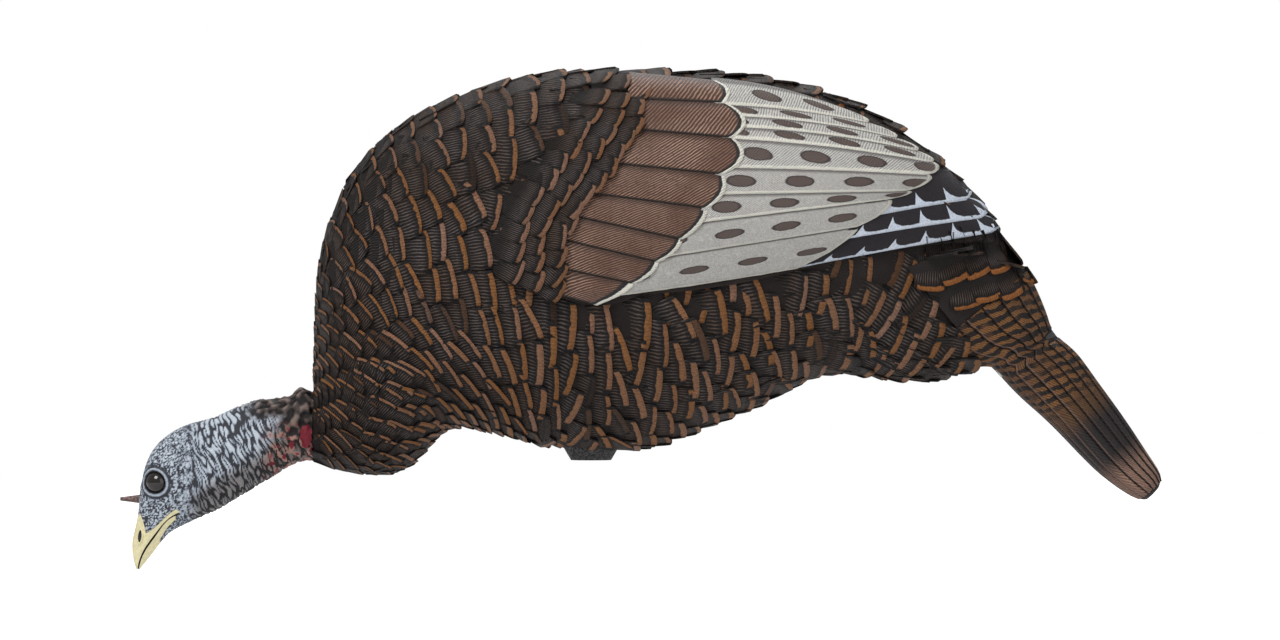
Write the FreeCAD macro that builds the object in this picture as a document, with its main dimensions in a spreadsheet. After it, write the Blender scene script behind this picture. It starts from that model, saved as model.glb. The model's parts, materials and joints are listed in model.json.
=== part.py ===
"""A full-size feeding hen turkey decoy that turns on a ground stake.

Frame: millimetres, +Z up, the beak towards -X and the tail towards +X, left and right mirrored about Y = 0.
The origin is the mouth of the stake bore, in the flat foot under the belly.

The hollow vinyl body turns on a steel pivot tube that a stake is pushed into. The head turns and pulls out
of a rigid socket in the front of the body, the tail pulls off a pocket in the rump, and an air bung
pulls out of the belly. Driving sizes are in the Dimensions sheet, and the hull stations that the skins
are lofted through are in the Stations sheet.
"""

import FreeCAD, Part
import math
import os
import Sketcher

Vector = FreeCAD.Vector

# Driving dimensions: alias, value in mm or degrees, what it is.
DIMENSIONS = [
    ("feather_relief", 2.0, "depth of the carved feathers outside the plain skin"),
    ("skin_wall", 2.6, "vinyl wall of the body"),
    ("head_wall", 3.0, "vinyl wall of the neck and head"),
    ("tail_wall", 2.4, "vinyl wall of the tail"),
    ("wing_thickness", 3.4, "thickness of a wing panel"),
    ("slide_gap", 0.8, "gap between the tail's skirt and the body"),
    ("middle_gap", 3.0, "half the gap between the wings over the rump"),
    ("stake_radius", 4.9, "bore that takes the stake"),
    ("stake_depth", 100.0, "depth of the stake bore"),
    ("pivot_radius", 8.0, "outside of the pivot tube"),
    ("pivot_height", 110.0, "height of the pivot tube"),
    ("groove_radius", 6.9, "bottom of the clip groove"),
    ("groove_level", 106.4, "lower side of the clip groove"),
    ("groove_width", 1.3, "width of the clip groove"),
    ("clip_thickness", 1.2, "thickness of the retaining clip"),
    ("clip_radius", 10.2, "outside of the retaining clip"),
    ("clip_bore", 7.0, "inside of the retaining clip"),
    ("clip_arc", 290.0, "angle that the open clip covers"),
    ("washer_thickness", 1.8, "thickness of the thrust washer"),
    ("washer_radius", 7.5, "outside of the thrust washer"),
    ("washer_bore", 2.5, "hole of the thrust washer"),
    ("bush_radius", 11.0, "outside of the bushes and bore of the housing"),
    ("bush_bore", 8.06, "bore of the bushes"),
    ("bush_length", 20.0, "length of a bush"),
    ("lower_bush_level", 4.0, "underside of the lower bush"),
    ("upper_bush_level", 86.0, "underside of the upper bush"),
    ("foot_lip", 2.0, "thickness of the lip under the lower bush"),
    ("foot_lip_bore", 8.5, "hole in the lip"),
    ("foot_radius", 14.8, "flat foot of the boss"),
    ("boss_shoulder_radius", 23.0, "boss where it meets the belly"),
    ("boss_shoulder_level", 14.0, "level where the boss stops widening"),
    ("boss_top_level", 26.0, "level above the belly skin that the blank of the boss reaches"),
    ("thread_radius", 16.0, "threaded neck of the boss"),
    ("thread_top", 38.0, "top of the threaded neck"),
    ("tube_radius", 14.0, "housing tube above the thread"),
    ("tube_top", 112.1, "top of the housing tube, which is the underside of the cap"),
    ("cap_height", 6.0, "height of the housing cap's rim"),
    ("seat_radius", 32.0, "sealing pad inside the belly"),
    ("seat_top", 22.0, "flat top of the sealing pad"),
    ("nut_radius", 26.0, "outside of the clamp nut"),
    ("nut_height", 9.0, "height of the clamp nut"),
    ("nut_grip", 3.0, "width of a finger notch in the nut"),
    ("neck_height", 23.5, "height of the neck's axis"),
    ("collar_plane", 203.0, "distance of the neck joint in front of the stake"),
    ("socket_radius", 18.0, "outside of the neck socket"),
    ("socket_bore", 15.05, "bore of the neck socket"),
    ("socket_length", 36.0, "length of the neck socket"),
    ("socket_flange_radius", 21.5, "bonding flange of the neck socket"),
    ("socket_flange", 3.0, "thickness of the bonding flange"),
    ("socket_stop", 2.0, "thickness of the inner end ring"),
    ("socket_stop_bore", 13.0, "hole of the inner end ring"),
    ("slot_level", 20.0, "near side of the stop slot along the socket"),
    ("slot_width", 4.4, "width of the stop slot"),
    ("slot_arc", 100.0, "angle that the stop slot covers"),
    ("ring_radius", 15.0, "outside of the turning neck ring"),
    ("ring_bore", 11.0, "bore of the turning neck ring"),
    ("ring_length", 32.0, "length of the turning neck ring"),
    ("ring_setback", 1.0, "neck ring behind the joint plane"),
    ("stop_pin_radius", 2.0, "stop pin of the neck ring"),
    ("stop_pin_length", 5.0, "length of the stop pin"),
    ("stop_pin_foot", 12.0, "foot of the stop pin above the ring's axis"),
    ("plug_radius", 10.95, "plug on the neck"),
    ("plug_length", 30.0, "length of the plug behind the joint plane"),
    ("plug_flange_radius", 22.0, "flange of the plug, set in a rebate of the neck"),
    ("plug_flange", 5.0, "thickness of the plug's flange"),
    ("neck_joint_gap", 0.4, "gap between the neck and the body"),
    ("oring_radius", 0.95, "section radius of the plug's ring seal"),
    ("oring_level", 20.0, "ring seal behind the joint plane"),
    ("eye_radius", 8.6, "glass eye"),
    ("eye_forward", 317.4, "eye centre in front of the stake"),
    ("eye_level", -16.2, "height of the eye centre"),
    ("eye_side", 13.0, "eye centre beside the middle plane"),
    ("snood_radius", 3.7, "root of the snood"),
    ("snood_tip_radius", 1.3, "tip of the snood"),
    ("snood_length", 18.0, "snood with its root in the brow"),
    ("snood_forward", 328.0, "root of the snood in front of the stake"),
    ("snood_level", -28.6, "height of the snood"),
    ("tang_width", 24.0, "width of the tail tang"),
    ("tang_thickness", 8.0, "thickness of the tail tang"),
    ("tang_length", 46.0, "tang that enters the body"),
    ("tang_block", 16.0, "block that fills the root of the tail"),
    ("tang_gap", 0.15, "gap round the tang in its pocket"),
    ("tang_end_gap", 1.0, "gap behind the tang's end"),
    ("pocket_wall", 2.6, "wall of the tail pocket"),
    ("pocket_flange", 2.5, "thickness of the pocket's flange"),
    ("pocket_flange_margin", 5.0, "flange beyond the pocket"),
    ("tang_level", 0.42, "share of the rump's height where the tang lies"),
    ("valve_behind", 72.0, "air valve behind the stake"),
    ("valve_side", 38.0, "air valve to the right of the middle plane"),
    ("valve_proud", 1.8, "flange of the air valve outside the plain skin"),
    ("valve_flange_radius", 10.5, "flange of the air valve"),
    ("valve_tube_radius", 7.0, "tube of the air valve"),
    ("valve_bore", 5.0, "bore of the air valve"),
    ("valve_length", 28.0, "length of the air valve"),
    ("valve_root", 8.0, "blank of the valve's flange, trimmed to the skin"),
    ("bung_radius", 4.95, "bung that closes the valve"),
    ("bung_length", 13.0, "bung above its head"),
    ("bung_head_radius", 9.0, "head of the bung"),
    ("bung_head", 2.2, "thickness of the bung's head"),
    ("bung_gap", 0.3, "gap between the bung's head and its seat"),
    ("screw_radius", 1.9, "shank of a tang screw"),
    ("screw_head_radius", 3.6, "head of a tang screw"),
    ("screw_head", 1.6, "thickness of a screw head"),
    ("screw_length", 9.0, "length of a screw's shank"),
    ("screw_spread", 8.0, "tang screw beside the middle plane"),
    ("screw_sunk", 1.2, "underside of a screw's head above the tail's skin"),
]

# Hull stations: (back x, back z), (belly x, belly z), half width, share of the height where the section is
# widest, and the power of the upper curve (2 is an ellipse, less is a roof).
BODY_STATIONS = [
    ((-203.0, 49.5), (-203.0, -2.5), 26.0, 0.50, 2.0),
    ((-204.0, 62.0), (-188.0, -8.0), 40.0, 0.50, 2.0),
    ((-204.0, 80.0), (-165.0, -11.5), 55.0, 0.50, 2.0),
    ((-203.5, 103.0), (-144.0, -10.5), 68.0, 0.48, 2.0),
    ((-202.5, 128.0), (-128.0, -2.0), 79.0, 0.47, 2.0),
    ((-198.5, 155.0), (-116.0, 11.0), 87.0, 0.47, 2.0),
    ((-189.0, 185.0), (-106.0, 20.0), 93.0, 0.47, 2.0),
    ((-173.0, 215.0), (-95.0, 22.8), 98.0, 0.47, 2.0),
    ((-149.0, 241.0), (-82.0, 21.0), 101.5, 0.47, 2.0),
    ((-118.0, 260.0), (-66.0, 17.5), 104.0, 0.47, 2.0),
    ((-78.0, 275.5), (-46.0, 13.0), 106.0, 0.47, 2.0),
    ((-32.0, 285.0), (-24.0, 8.5), 107.0, 0.47, 2.0),
    ((16.0, 287.5), (2.0, 5.5), 107.0, 0.47, 2.0),
    ((64.0, 286.6), (32.0, 7.5), 106.0, 0.47, 2.0),
    ((110.0, 284.0), (66.0, 16.0), 103.0, 0.47, 2.0),
    ((152.0, 277.0), (100.0, 30.0), 98.0, 0.47, 2.0),
    ((192.0, 264.5), (134.0, 45.0), 91.0, 0.46, 2.0),
    ((228.0, 244.0), (166.0, 61.0), 82.0, 0.44, 2.0),
    ((258.0, 218.0), (196.0, 62.0), 71.0, 0.41, 1.95),
    ((282.0, 193.0), (224.0, 58.5), 59.0, 0.37, 1.87),
    ((302.0, 167.0), (250.0, 59.5), 48.0, 0.33, 1.77),
    ((320.0, 137.0), (273.0, 64.0), 38.0, 0.29, 1.66),
    ((334.0, 105.0), (293.0, 70.0), 31.0, 0.26, 1.55),
]
HEAD_STATIONS = [
    ((-203.4, 47.5), (-203.4, -0.5), 24.0, 0.50, 2.0),
    ((-219.0, 48.0), (-218.0, -2.5), 24.5, 0.50, 2.0),
    ((-240.0, 44.5), (-234.0, -12.0), 25.0, 0.50, 2.0),
    ((-260.0, 39.0), (-248.0, -20.5), 25.0, 0.50, 2.0),
    ((-278.0, 31.0), (-262.0, -29.0), 24.5, 0.50, 2.0),
    ((-295.0, 26.5), (-275.0, -36.5), 24.0, 0.52, 2.0),
    ((-310.0, 19.0), (-287.0, -42.0), 22.5, 0.55, 2.0),
    ((-321.0, 8.5), (-297.0, -46.5), 20.5, 0.57, 2.0),
    ((-327.5, -5.0), (-303.0, -49.5), 18.5, 0.58, 2.0),
    ((-331.0, -19.0), (-307.5, -52.0), 16.0, 0.58, 2.0),
    ((-332.0, -32.0), (-311.0, -54.5), 13.5, 0.57, 2.0),
    ((-334.0, -45.5), (-315.0, -59.0), 11.0, 0.55, 2.0),
    ((-337.0, -59.0), (-319.5, -65.0), 8.5, 0.52, 2.0),
    ((-337.0, -69.0), (-324.5, -71.5), 6.0, 0.50, 2.0),
    ((-335.5, -76.5), (-329.0, -77.0), 3.4, 0.50, 2.0),
    ((-334.0, -80.5), (-332.0, -80.8), 1.2, 0.50, 2.0),
]
# The tail starts with the body's last station.
TAIL_STATIONS = [
    ((351.0, 82.0), (311.5, 52.0), 29.5, 0.24, 1.45),
    ((368.0, 61.0), (332.0, 33.5), 28.5, 0.23, 1.40),
    ((385.0, 37.5), (352.0, 14.0), 27.5, 0.22, 1.40),
    ((400.0, 15.5), (372.0, -6.0), 26.5, 0.22, 1.40),
    ((411.0, -1.5), (389.0, -19.5), 24.0, 0.24, 1.45),
    ((417.0, -13.0), (402.0, -27.0), 18.0, 0.30, 1.60),
    ((416.5, -20.5), (409.0, -28.0), 9.0, 0.40, 1.80),
]
HOLLOW_HEAD_STATIONS = 7
HOLLOW_TAIL_STATIONS = 6

# Side outlines as runs of (x, z) points; neighbouring runs share their end points.
WING_OUTLINE = [
    [(40.0, 278.0), (24.0, 247.0), (5.0, 216.0), (-16.0, 181.0), (-33.0, 151.0), (-35.5, 129.0)],
    [(-35.5, 129.0), (-15.0, 117.0), (10.0, 113.5), (36.0, 121.5)],
    [(36.0, 121.5), (80.0, 125.0), (137.0, 135.5), (180.0, 146.0), (230.0, 155.0), (285.0, 160.0)],
    [(285.0, 160.0), (298.0, 163.5), (301.0, 171.0), (293.0, 186.0), (282.0, 199.0)],
    [(282.0, 199.0), (258.0, 216.0), (234.0, 234.5), (198.0, 251.5), (154.0, 263.5), (131.0, 268.5)],
    [(131.0, 268.5), (91.0, 275.5), (40.0, 278.0)],
]
SKIRT_OUTLINE = [
    [(229.0, 141.0), (292.0, 67.0)],
    [(292.0, 67.0), (345.0, 96.0)],
    [(345.0, 96.0), (324.0, 137.0)],
    [(324.0, 137.0), (296.0, 149.0)],
    [(296.0, 149.0), (262.0, 153.0)],
    [(262.0, 153.0), (229.0, 141.0)],
]
UPPER_BEAK_OUTLINE = [
    [(-330.8, -39.4), (-328.4, -45.0), (-326.5, -53.5)],
    [(-326.5, -53.5), (-317.5, -47.3), (-310.8, -40.8), (-304.0, -35.8)],
    [(-304.0, -35.8), (-301.2, -38.0)],
    [(-301.2, -38.0), (-308.4, -41.7), (-319.8, -54.0), (-329.4, -68.0), (-333.4, -82.5)],
    [(-333.4, -82.5), (-345.0, -84.0)],
    [(-345.0, -84.0), (-345.0, -47.0)],
    [(-345.0, -47.0), (-330.8, -39.4)],
]
LOWER_BEAK_OUTLINE = [
    [(-304.4, -40.6), (-308.8, -43.0), (-319.0, -55.2), (-328.4, -69.0), (-332.4, -82.5)],
    [(-332.4, -82.5), (-312.0, -72.0)],
    [(-312.0, -72.0), (-316.8, -59.0)],
    [(-316.8, -59.0), (-313.6, -53.5), (-308.8, -47.2), (-304.4, -43.4)],
    [(-304.4, -43.4), (-304.4, -40.6)],
]
SIDE_REACH = 160.0
FACE_STATION = 9
OVERCUT = 1.0
TANG_BLANK = 60.0
SECTION_POINTS = 28

doc = FreeCAD.newDocument("turkey_decoy")
sizes = doc.addObject("Spreadsheet::Sheet", "Dimensions")
stations = doc.addObject("Spreadsheet::Sheet", "Stations")
PARTS = []


def fill_sheets():
    """Writes the driving dimensions and the stations as plain numbers with aliases."""
    for row, (alias, value, meaning) in enumerate(DIMENSIONS, start=1):
        sizes.set(f"A{row}", meaning)
        sizes.set(f"B{row}", str(value))
        sizes.setAlias(f"B{row}", alias)
    row = 1
    for hull, table in (("body", BODY_STATIONS), ("head", HEAD_STATIONS), ("tail", TAIL_STATIONS)):
        for index, (back, belly, half_width, widest, power) in enumerate(table):
            values = (*back, *belly, half_width, widest, power)
            names = ("back_x", "back_z", "belly_x", "belly_z", "half_width", "widest_share", "power")
            for column, name, value in zip("ABCDEFG", names, values):
                stations.set(f"{column}{row}", str(value))
                stations.setAlias(f"{column}{row}", f"{hull}_{name}_{index:02d}")
            row += 1
    doc.recompute()


def size(alias):
    """The value of one cell of the Dimensions sheet."""
    return float(getattr(sizes, alias))


def amount(expression):
    """The value of a sum such as 'tube_top + cap_height', whose terms are aliases."""
    total, sign = 0.0, 1.0
    for word in expression.split():
        if word in "+-":
            sign = 1.0 if word == "+" else -1.0
        else:
            total += sign * size(word)
    return total


def bound(expression):
    """The same sum as an expression on the sheet."""
    return " ".join(word if word in "+-" else f"Dimensions.{word}" for word in expression.split())


def placed(item, position=(0, 0, 0), axis=(0, 0, 1), angle=0.0):
    """Gives a sub-part its Placement."""
    item.Placement = FreeCAD.Placement(Vector(*position), FreeCAD.Rotation(Vector(*axis), angle))
    return item


def keep(item, label):
    """Registers a finished sub-part under its node name."""
    item.Label = label
    PARTS.append(item)
    return item


def turned(name, outline, arc=None):
    """A PartDesign body turned about its own Z axis. The outline's points are (radius, height) sums; '' is zero."""
    body = doc.addObject("PartDesign::Body", name)
    sketch = body.newObject("Sketcher::SketchObject", name + "_profile")
    plane = [f for f in body.Origin.OriginFeatures if f.Role == "XZ_Plane"][0]
    sketch.AttachmentSupport = [(plane, "")]
    sketch.MapMode = "FlatFace"
    points = [Vector(amount(r) if r else 0.0, amount(z) if z else 0.0, 0) for r, z in outline]
    count = len(points)
    for index in range(count):
        sketch.addGeometry(Part.LineSegment(points[index], points[(index + 1) % count]), False)
    for index in range(count):
        sketch.addConstraint(Sketcher.Constraint("Coincident", index, 2, (index + 1) % count, 1))
    for index, (r, z) in enumerate(outline):
        for kind, words, axis_line in (("DistanceX", r, -2), ("DistanceY", z, -1)):
            if words:
                held = Sketcher.Constraint(kind, -1, 1, index, 1, amount(words))
                number = sketch.addConstraint(held)
                sketch.setExpression(f"Constraints[{number}]", bound(words))
            else:
                sketch.addConstraint(Sketcher.Constraint("PointOnObject", index, 1, axis_line))
    revolution = body.newObject("PartDesign::Revolution", name + "_turned")
    revolution.Profile = sketch
    revolution.ReferenceAxis = (sketch, ["V_Axis"])
    revolution.Angle = 360.0
    if arc:
        revolution.setExpression("Angle", bound(arc))
    sketch.Visibility = False
    return body


def ring(name, outer, inner, bottom, height):
    """A plain turned ring: radii and levels are sums of aliases."""
    top = f"{bottom} + {height}" if bottom else height
    return turned(name, [(inner, bottom), (outer, bottom), (outer, top), (inner, top)])


def solid_feature(name, shape):
    """A document object for a shape that Part's own functions made."""
    item = doc.addObject("Part::Feature", name)
    item.Shape = shape
    return item


def combined(kind, name, base, tool):
    """A Part::Cut or Part::Common of two document objects."""
    item = doc.addObject(kind, name)
    if kind == "Part::Cut":
        item.Base = base
        item.Tool = tool
    else:
        item.Shapes = [base, tool]
    return item


def fused(name, *items):
    item = doc.addObject("Part::MultiFuse", name)
    item.Shapes = list(items)
    return item


def unmerged(item):
    """Leave the faces as they were cut, since merging curved patches would loosen their edges."""
    item.Refine = False
    return item


def station_values(hull, count):
    """The rows of one hull, read back from the Stations sheet."""
    names = ("back_x", "back_z", "belly_x", "belly_z", "half_width", "widest_share", "power")
    return [
        [float(getattr(stations, f"{hull}_{name}_{index:02d}")) for name in names]
        for index in range(count)
    ]


def section(row, grow):
    """A closed hull section in the plane of its back and belly points, grown by an offset in that plane."""
    back_x, back_z, belly_x, belly_z, half_width, widest, power = row
    height = math.hypot(back_x - belly_x, back_z - belly_z)
    along = Vector((back_x - belly_x) / height, 0, (back_z - belly_z) / height)
    middle = Vector(belly_x, 0, belly_z) + along * (height * widest)
    points = []
    for index in range(SECTION_POINTS):
        angle = 2 * math.pi * index / SECTION_POINTS
        across, up = math.cos(angle), math.sin(angle)
        bend = 2.0 / power if up > 0 else 1.0
        reach = (height * (1 - widest) if up > 0 else height * widest) + grow
        y = math.copysign(abs(across) ** bend, across) * (half_width + grow)
        points.append(middle + along * (math.copysign(abs(up) ** bend, up) * reach) + Vector(0, y, 0))
    curve = Part.BSplineCurve()
    curve.interpolate(points, PeriodicFlag=True)
    return Part.Wire([curve.toShape()])


def hull(rows, grow):
    """A smooth closed solid through the sections."""
    return Part.makeLoft([section(row, grow) for row in rows], True, False)


def prism(outline, near, far):
    """A side outline in the XZ plane, extruded in Y from near to far."""
    edges = []
    for run in outline:
        points = [Vector(x, near, z) for x, z in run]
        if len(points) == 2:
            edges.append(Part.LineSegment(*points).toShape())
        else:
            curve = Part.BSplineCurve()
            curve.interpolate(points)
            edges.append(curve.toShape())
    face = Part.Face(Part.Wire(edges))
    return face.extrude(Vector(0, far - near, 0))


def rump_frame():
    """The middle of the rump's end face, the way that the tail pulls off, and the way up across the face."""
    back_x, back_z, belly_x, belly_z = station_values("body", len(BODY_STATIONS))[-1][:4]
    up = Vector(back_x - belly_x, 0, back_z - belly_z)
    middle = Vector(belly_x, 0, belly_z) + up * size("tang_level")
    up.normalize()
    return middle, Vector(up.z, 0, -up.x), up


def slab(half_thickness, half_width, start, end):
    """A box that follows the tail's axis, measured from the rump's end face."""
    middle, out, up = rump_frame()
    box = Part.makeBox(end - start, 2 * half_width, 2 * half_thickness)
    box.translate(Vector(start, -half_width, -half_thickness))
    turn = FreeCAD.Placement(middle, FreeCAD.Rotation(out, Vector(0, 1, 0), up, "XZY"))
    return box.transformGeometry(turn.toMatrix())


def make_pivot():
    """The pivot tube that holds the stake, with its clip and thrust washer."""
    tube = turned("pivot_tube_body", [
        ("stake_radius", ""), ("pivot_radius", ""),
        ("pivot_radius", "groove_level"), ("groove_radius", "groove_level"),
        ("groove_radius", "groove_level + groove_width"), ("pivot_radius", "groove_level + groove_width"),
        ("pivot_radius", "pivot_height"), ("", "pivot_height"),
        ("", "stake_depth"), ("stake_radius", "stake_depth"),
    ])
    keep(tube, "pivot_tube")
    top = "groove_level + clip_thickness"
    clip = turned("clip_body", [
        ("clip_bore", "groove_level"), ("clip_radius", "groove_level"),
        ("clip_radius", top), ("clip_bore", top),
    ], arc="clip_arc")
    keep(clip, "retaining_clip")
    keep(ring("washer_body", "washer_radius", "washer_bore", "pivot_height", "washer_thickness"), "thrust_washer")


def make_stake_housing(outer, inner):
    """The boss under the belly with the bearing tube inside, its bushes, cap, pad and clamp nut."""
    blank = turned("boss_blank", [
        ("bush_radius", ""), ("foot_radius", ""), ("boss_shoulder_radius", "boss_shoulder_level"),
        ("boss_shoulder_radius", "boss_top_level"), ("bush_radius", "boss_top_level"),
    ])
    boss = combined("Part::Cut", "boss_foot", blank, outer)
    lip = turned("foot_lip_ring", [
        ("foot_lip_bore", ""), ("bush_radius", ""), ("bush_radius", "foot_lip"), ("foot_lip_bore", "foot_lip"),
    ])
    tube = turned("housing_tube", [
        ("bush_radius", ""), ("foot_lip_bore + stake_radius", ""),
        ("foot_lip_bore + stake_radius", "foot_lip"), ("thread_radius", "foot_lip + foot_lip"),
        ("thread_radius", "thread_top"), ("tube_radius", "thread_top"),
        ("tube_radius", "tube_top"), ("bush_radius", "tube_top"),
    ])
    keep(fused("housing_solid", boss, lip, tube), "stake_housing")
    keep(ring("lower_bush_body", "bush_radius", "bush_bore", "lower_bush_level", "bush_length"), "lower_bush")
    keep(ring("upper_bush_body", "bush_radius", "bush_bore", "upper_bush_level", "bush_length"), "upper_bush")
    cap = turned("cap_body", [
        ("", "tube_top"), ("bush_radius", "tube_top"), ("tube_radius", "tube_top"),
        ("tube_radius", "tube_top + cap_height"), ("", "tube_top + cap_height"),
    ])
    keep(cap, "housing_cap")
    pad_blank = doc.addObject("Part::Cylinder", "pad_blank")
    pad_blank.setExpression("Radius", bound("seat_radius"))
    pad_blank.setExpression("Height", bound("seat_top"))
    pad = combined("Part::MultiCommon", "pad_inside", pad_blank, inner)
    pad_hole = doc.addObject("Part::Cylinder", "pad_hole")
    pad_hole.setExpression("Radius", bound("thread_radius"))
    pad_hole.setExpression("Height", bound("thread_top"))
    keep(combined("Part::Cut", "pad_solid", pad, pad_hole), "sealing_pad")
    nut = ring("nut_body", "nut_radius", "thread_radius", "seat_top", "nut_height")
    keep(nut_notched(nut), "clamp_nut")


def nut_notched(nut):
    """Cuts six finger notches in the rim of the clamp nut."""
    doc.recompute()
    sketch = nut.newObject("Sketcher::SketchObject", "notch_profile")
    plane = [f for f in nut.Origin.OriginFeatures if f.Role == "XY_Plane"][0]
    sketch.AttachmentSupport = [(plane, "")]
    sketch.MapMode = "FlatFace"
    sketch.addGeometry(Part.Circle(Vector(size("nut_radius"), 0, 0), Vector(0, 0, 1), size("nut_grip")), False)
    for kind, words in (("DistanceX", "nut_radius"), ("Radius", "nut_grip")):
        ends = (-1, 1, 0, 3) if kind == "DistanceX" else (0,)
        number = sketch.addConstraint(Sketcher.Constraint(kind, *ends, amount(words)))
        sketch.setExpression(f"Constraints[{number}]", bound(words))
    sketch.addConstraint(Sketcher.Constraint("PointOnObject", 0, 3, -1))
    pocket = nut.newObject("PartDesign::Pocket", "notch")
    pocket.Profile = sketch
    pocket.Type = 1
    pocket.Reversed = True
    pattern = nut.newObject("PartDesign::PolarPattern", "notches")
    pattern.Originals = [pocket]
    pattern.Axis = (sketch, ["N_Axis"])
    pattern.Angle = 360.0
    pattern.Occurrences = 6
    nut.Tip = pattern
    sketch.Visibility = False
    return nut


def make_neck_joint():
    """The socket in the body, the ring that turns in it with its stop pin, and the plug on the neck."""
    axis_start = (-size("collar_plane"), 0, size("neck_height"))
    inwards = ((0, 1, 0), 90.0)
    socket = turned("socket_body", [
        ("socket_bore", ""), ("socket_radius", ""),
        ("socket_radius", "skin_wall"), ("socket_flange_radius", "skin_wall"),
        ("socket_flange_radius", "skin_wall + socket_flange"), ("socket_radius", "skin_wall + socket_flange"),
        ("socket_radius", "socket_length + socket_stop"), ("socket_stop_bore", "socket_length + socket_stop"),
        ("socket_stop_bore", "socket_length"), ("socket_bore", "socket_length"),
    ])
    placed(socket, axis_start, *inwards)
    slot = turned("slot_blank", [
        ("ring_radius", "slot_level"), ("socket_flange_radius", "slot_level"),
        ("socket_flange_radius", "slot_level + slot_width"), ("ring_radius", "slot_level + slot_width"),
    ], arc="slot_arc")
    turn = FreeCAD.Rotation(Vector(0, 1, 0), 90.0)
    half_slot = FreeCAD.Rotation(Vector(0, 0, 1), 180.0 - size("slot_arc") / 2)
    slot.Placement = FreeCAD.Placement(Vector(*axis_start), turn.multiply(half_slot))
    keep(combined("Part::Cut", "socket_solid", socket, slot), "neck_socket")
    neck_ring = turned("neck_ring_body", [
        ("ring_bore", "ring_setback"), ("ring_radius", "ring_setback"),
        ("ring_radius", "ring_setback + ring_length"), ("ring_bore", "ring_setback + ring_length"),
    ])
    placed(neck_ring, axis_start, *inwards)
    pin_hole = doc.addObject("Part::Cylinder", "pin_hole")
    pin = doc.addObject("Part::Cylinder", "pin_blank")
    for item in (pin_hole, pin):
        item.setExpression("Radius", bound("stop_pin_radius"))
        item.setExpression("Height", bound("stop_pin_length"))
        pin_at = amount("slot_level") + size("slot_width") / 2
        start = Vector(axis_start[0] + pin_at, 0, axis_start[2] + size("stop_pin_foot"))
        item.Placement = FreeCAD.Placement(start, FreeCAD.Rotation())
    keep(combined("Part::Cut", "neck_ring_solid", neck_ring, pin_hole), "neck_ring")
    keep(pin, "stop_pin")
    return axis_start


def make_neck_plug(axis_start):
    """The rigid plug bonded in the end of the neck, with the ring seal that holds the head by friction."""
    plug = turned("plug_body", [
        ("", ""), ("plug_flange_radius", ""), ("plug_flange_radius", "plug_flange"),
        ("plug_radius", "plug_flange"),
        ("plug_radius", "plug_flange + oring_level"),
        ("plug_radius - oring_radius - oring_radius", "plug_flange + oring_level"),
        ("plug_radius - oring_radius - oring_radius", "plug_flange + oring_level + oring_radius + oring_radius"),
        ("plug_radius", "plug_flange + oring_level + oring_radius + oring_radius"),
        ("plug_radius", "plug_flange + plug_length"), ("", "plug_flange + plug_length"),
    ])
    start = (axis_start[0] - size("neck_joint_gap") - size("plug_flange"), 0, axis_start[2])
    placed(plug, start, (0, 1, 0), 90.0)
    keep(plug, "neck_plug")
    seal = doc.addObject("Part::Torus", "seal_ring")
    seal.setExpression("Radius1", bound("plug_radius - oring_radius"))
    seal.setExpression("Radius2", bound("oring_radius"))
    place = start[0] + amount("plug_flange + oring_level + oring_radius")
    placed(seal, (place, 0, axis_start[2]), (0, 1, 0), 90.0)
    keep(seal, "plug_ring_seal")


def make_head():
    """Hollow vinyl head and neck, the two halves of the beak, the eyes and the snood."""
    rows = station_values("head", len(HEAD_STATIONS))
    crown = solid_feature("neck_and_crown", hull(rows[:FACE_STATION + 1], 0.0))
    face = solid_feature("face_and_bill", hull(rows[FACE_STATION:], 0.0))
    outer = unmerged(fused("head_outer", crown, face))
    hollow = solid_feature("head_hollow", hull(rows[:HOLLOW_HEAD_STATIONS], -size("head_wall")))
    upper = solid_feature("upper_beak_prism", prism(UPPER_BEAK_OUTLINE, -SIDE_REACH, SIDE_REACH))
    lower = solid_feature("lower_beak_prism", prism(LOWER_BEAK_OUTLINE, -SIDE_REACH, SIDE_REACH))
    keep(unmerged(combined("Part::MultiCommon", "upper_beak_solid", outer, upper)), "upper_beak")
    keep(unmerged(combined("Part::MultiCommon", "lower_beak_solid", outer, lower)), "lower_beak")
    eyes = []
    for side, sign in (("left", -1), ("right", 1)):
        eye = doc.addObject("Part::Sphere", side + "_eye_ball")
        eye.setExpression("Radius", bound("eye_radius"))
        placed(eye, (-size("eye_forward"), sign * size("eye_side"), size("eye_level")))
        keep(eye, side + "_eye")
        eyes.append(eye)
    snood_cone = doc.addObject("Part::Cone", "snood_cone")
    snood_cone.setExpression("Radius1", bound("snood_radius"))
    snood_cone.setExpression("Radius2", bound("snood_tip_radius"))
    snood_cone.setExpression("Height", bound("snood_length"))
    placed(snood_cone, (-size("snood_forward"), 0, size("snood_level")), (0, 1, 0), -90.0)
    keep(combined("Part::Cut", "snood_solid", snood_cone, outer), "snood")
    plug_seat = doc.addObject("Part::Cylinder", "plug_seat")
    plug_seat.setExpression("Radius", bound("plug_flange_radius"))
    plug_seat.setExpression("Height", bound("plug_flange"))
    start = -size("collar_plane") - size("neck_joint_gap") - size("plug_flange")
    placed(plug_seat, (start, 0, size("neck_height")), (0, 1, 0), 90.0)
    cutters = fused("head_cutters", hollow, upper, lower, plug_seat, *eyes)
    keep(unmerged(combined("Part::Cut", "head_solid", outer, cutters)), "head_skin")


def make_wings(grown, outer):
    """A carved wing panel on each side, bonded on the body's skin."""
    for side, sign in (("left", -1), ("right", 1)):
        near, far = sign * size("middle_gap"), sign * SIDE_REACH
        blank = solid_feature(side + "_wing_prism", prism(WING_OUTLINE, near, far))
        chunk = unmerged(combined("Part::MultiCommon", side + "_wing_chunk", grown, blank))
        keep(unmerged(combined("Part::Cut", side + "_wing_solid", chunk, outer)), side + "_wing")


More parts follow.
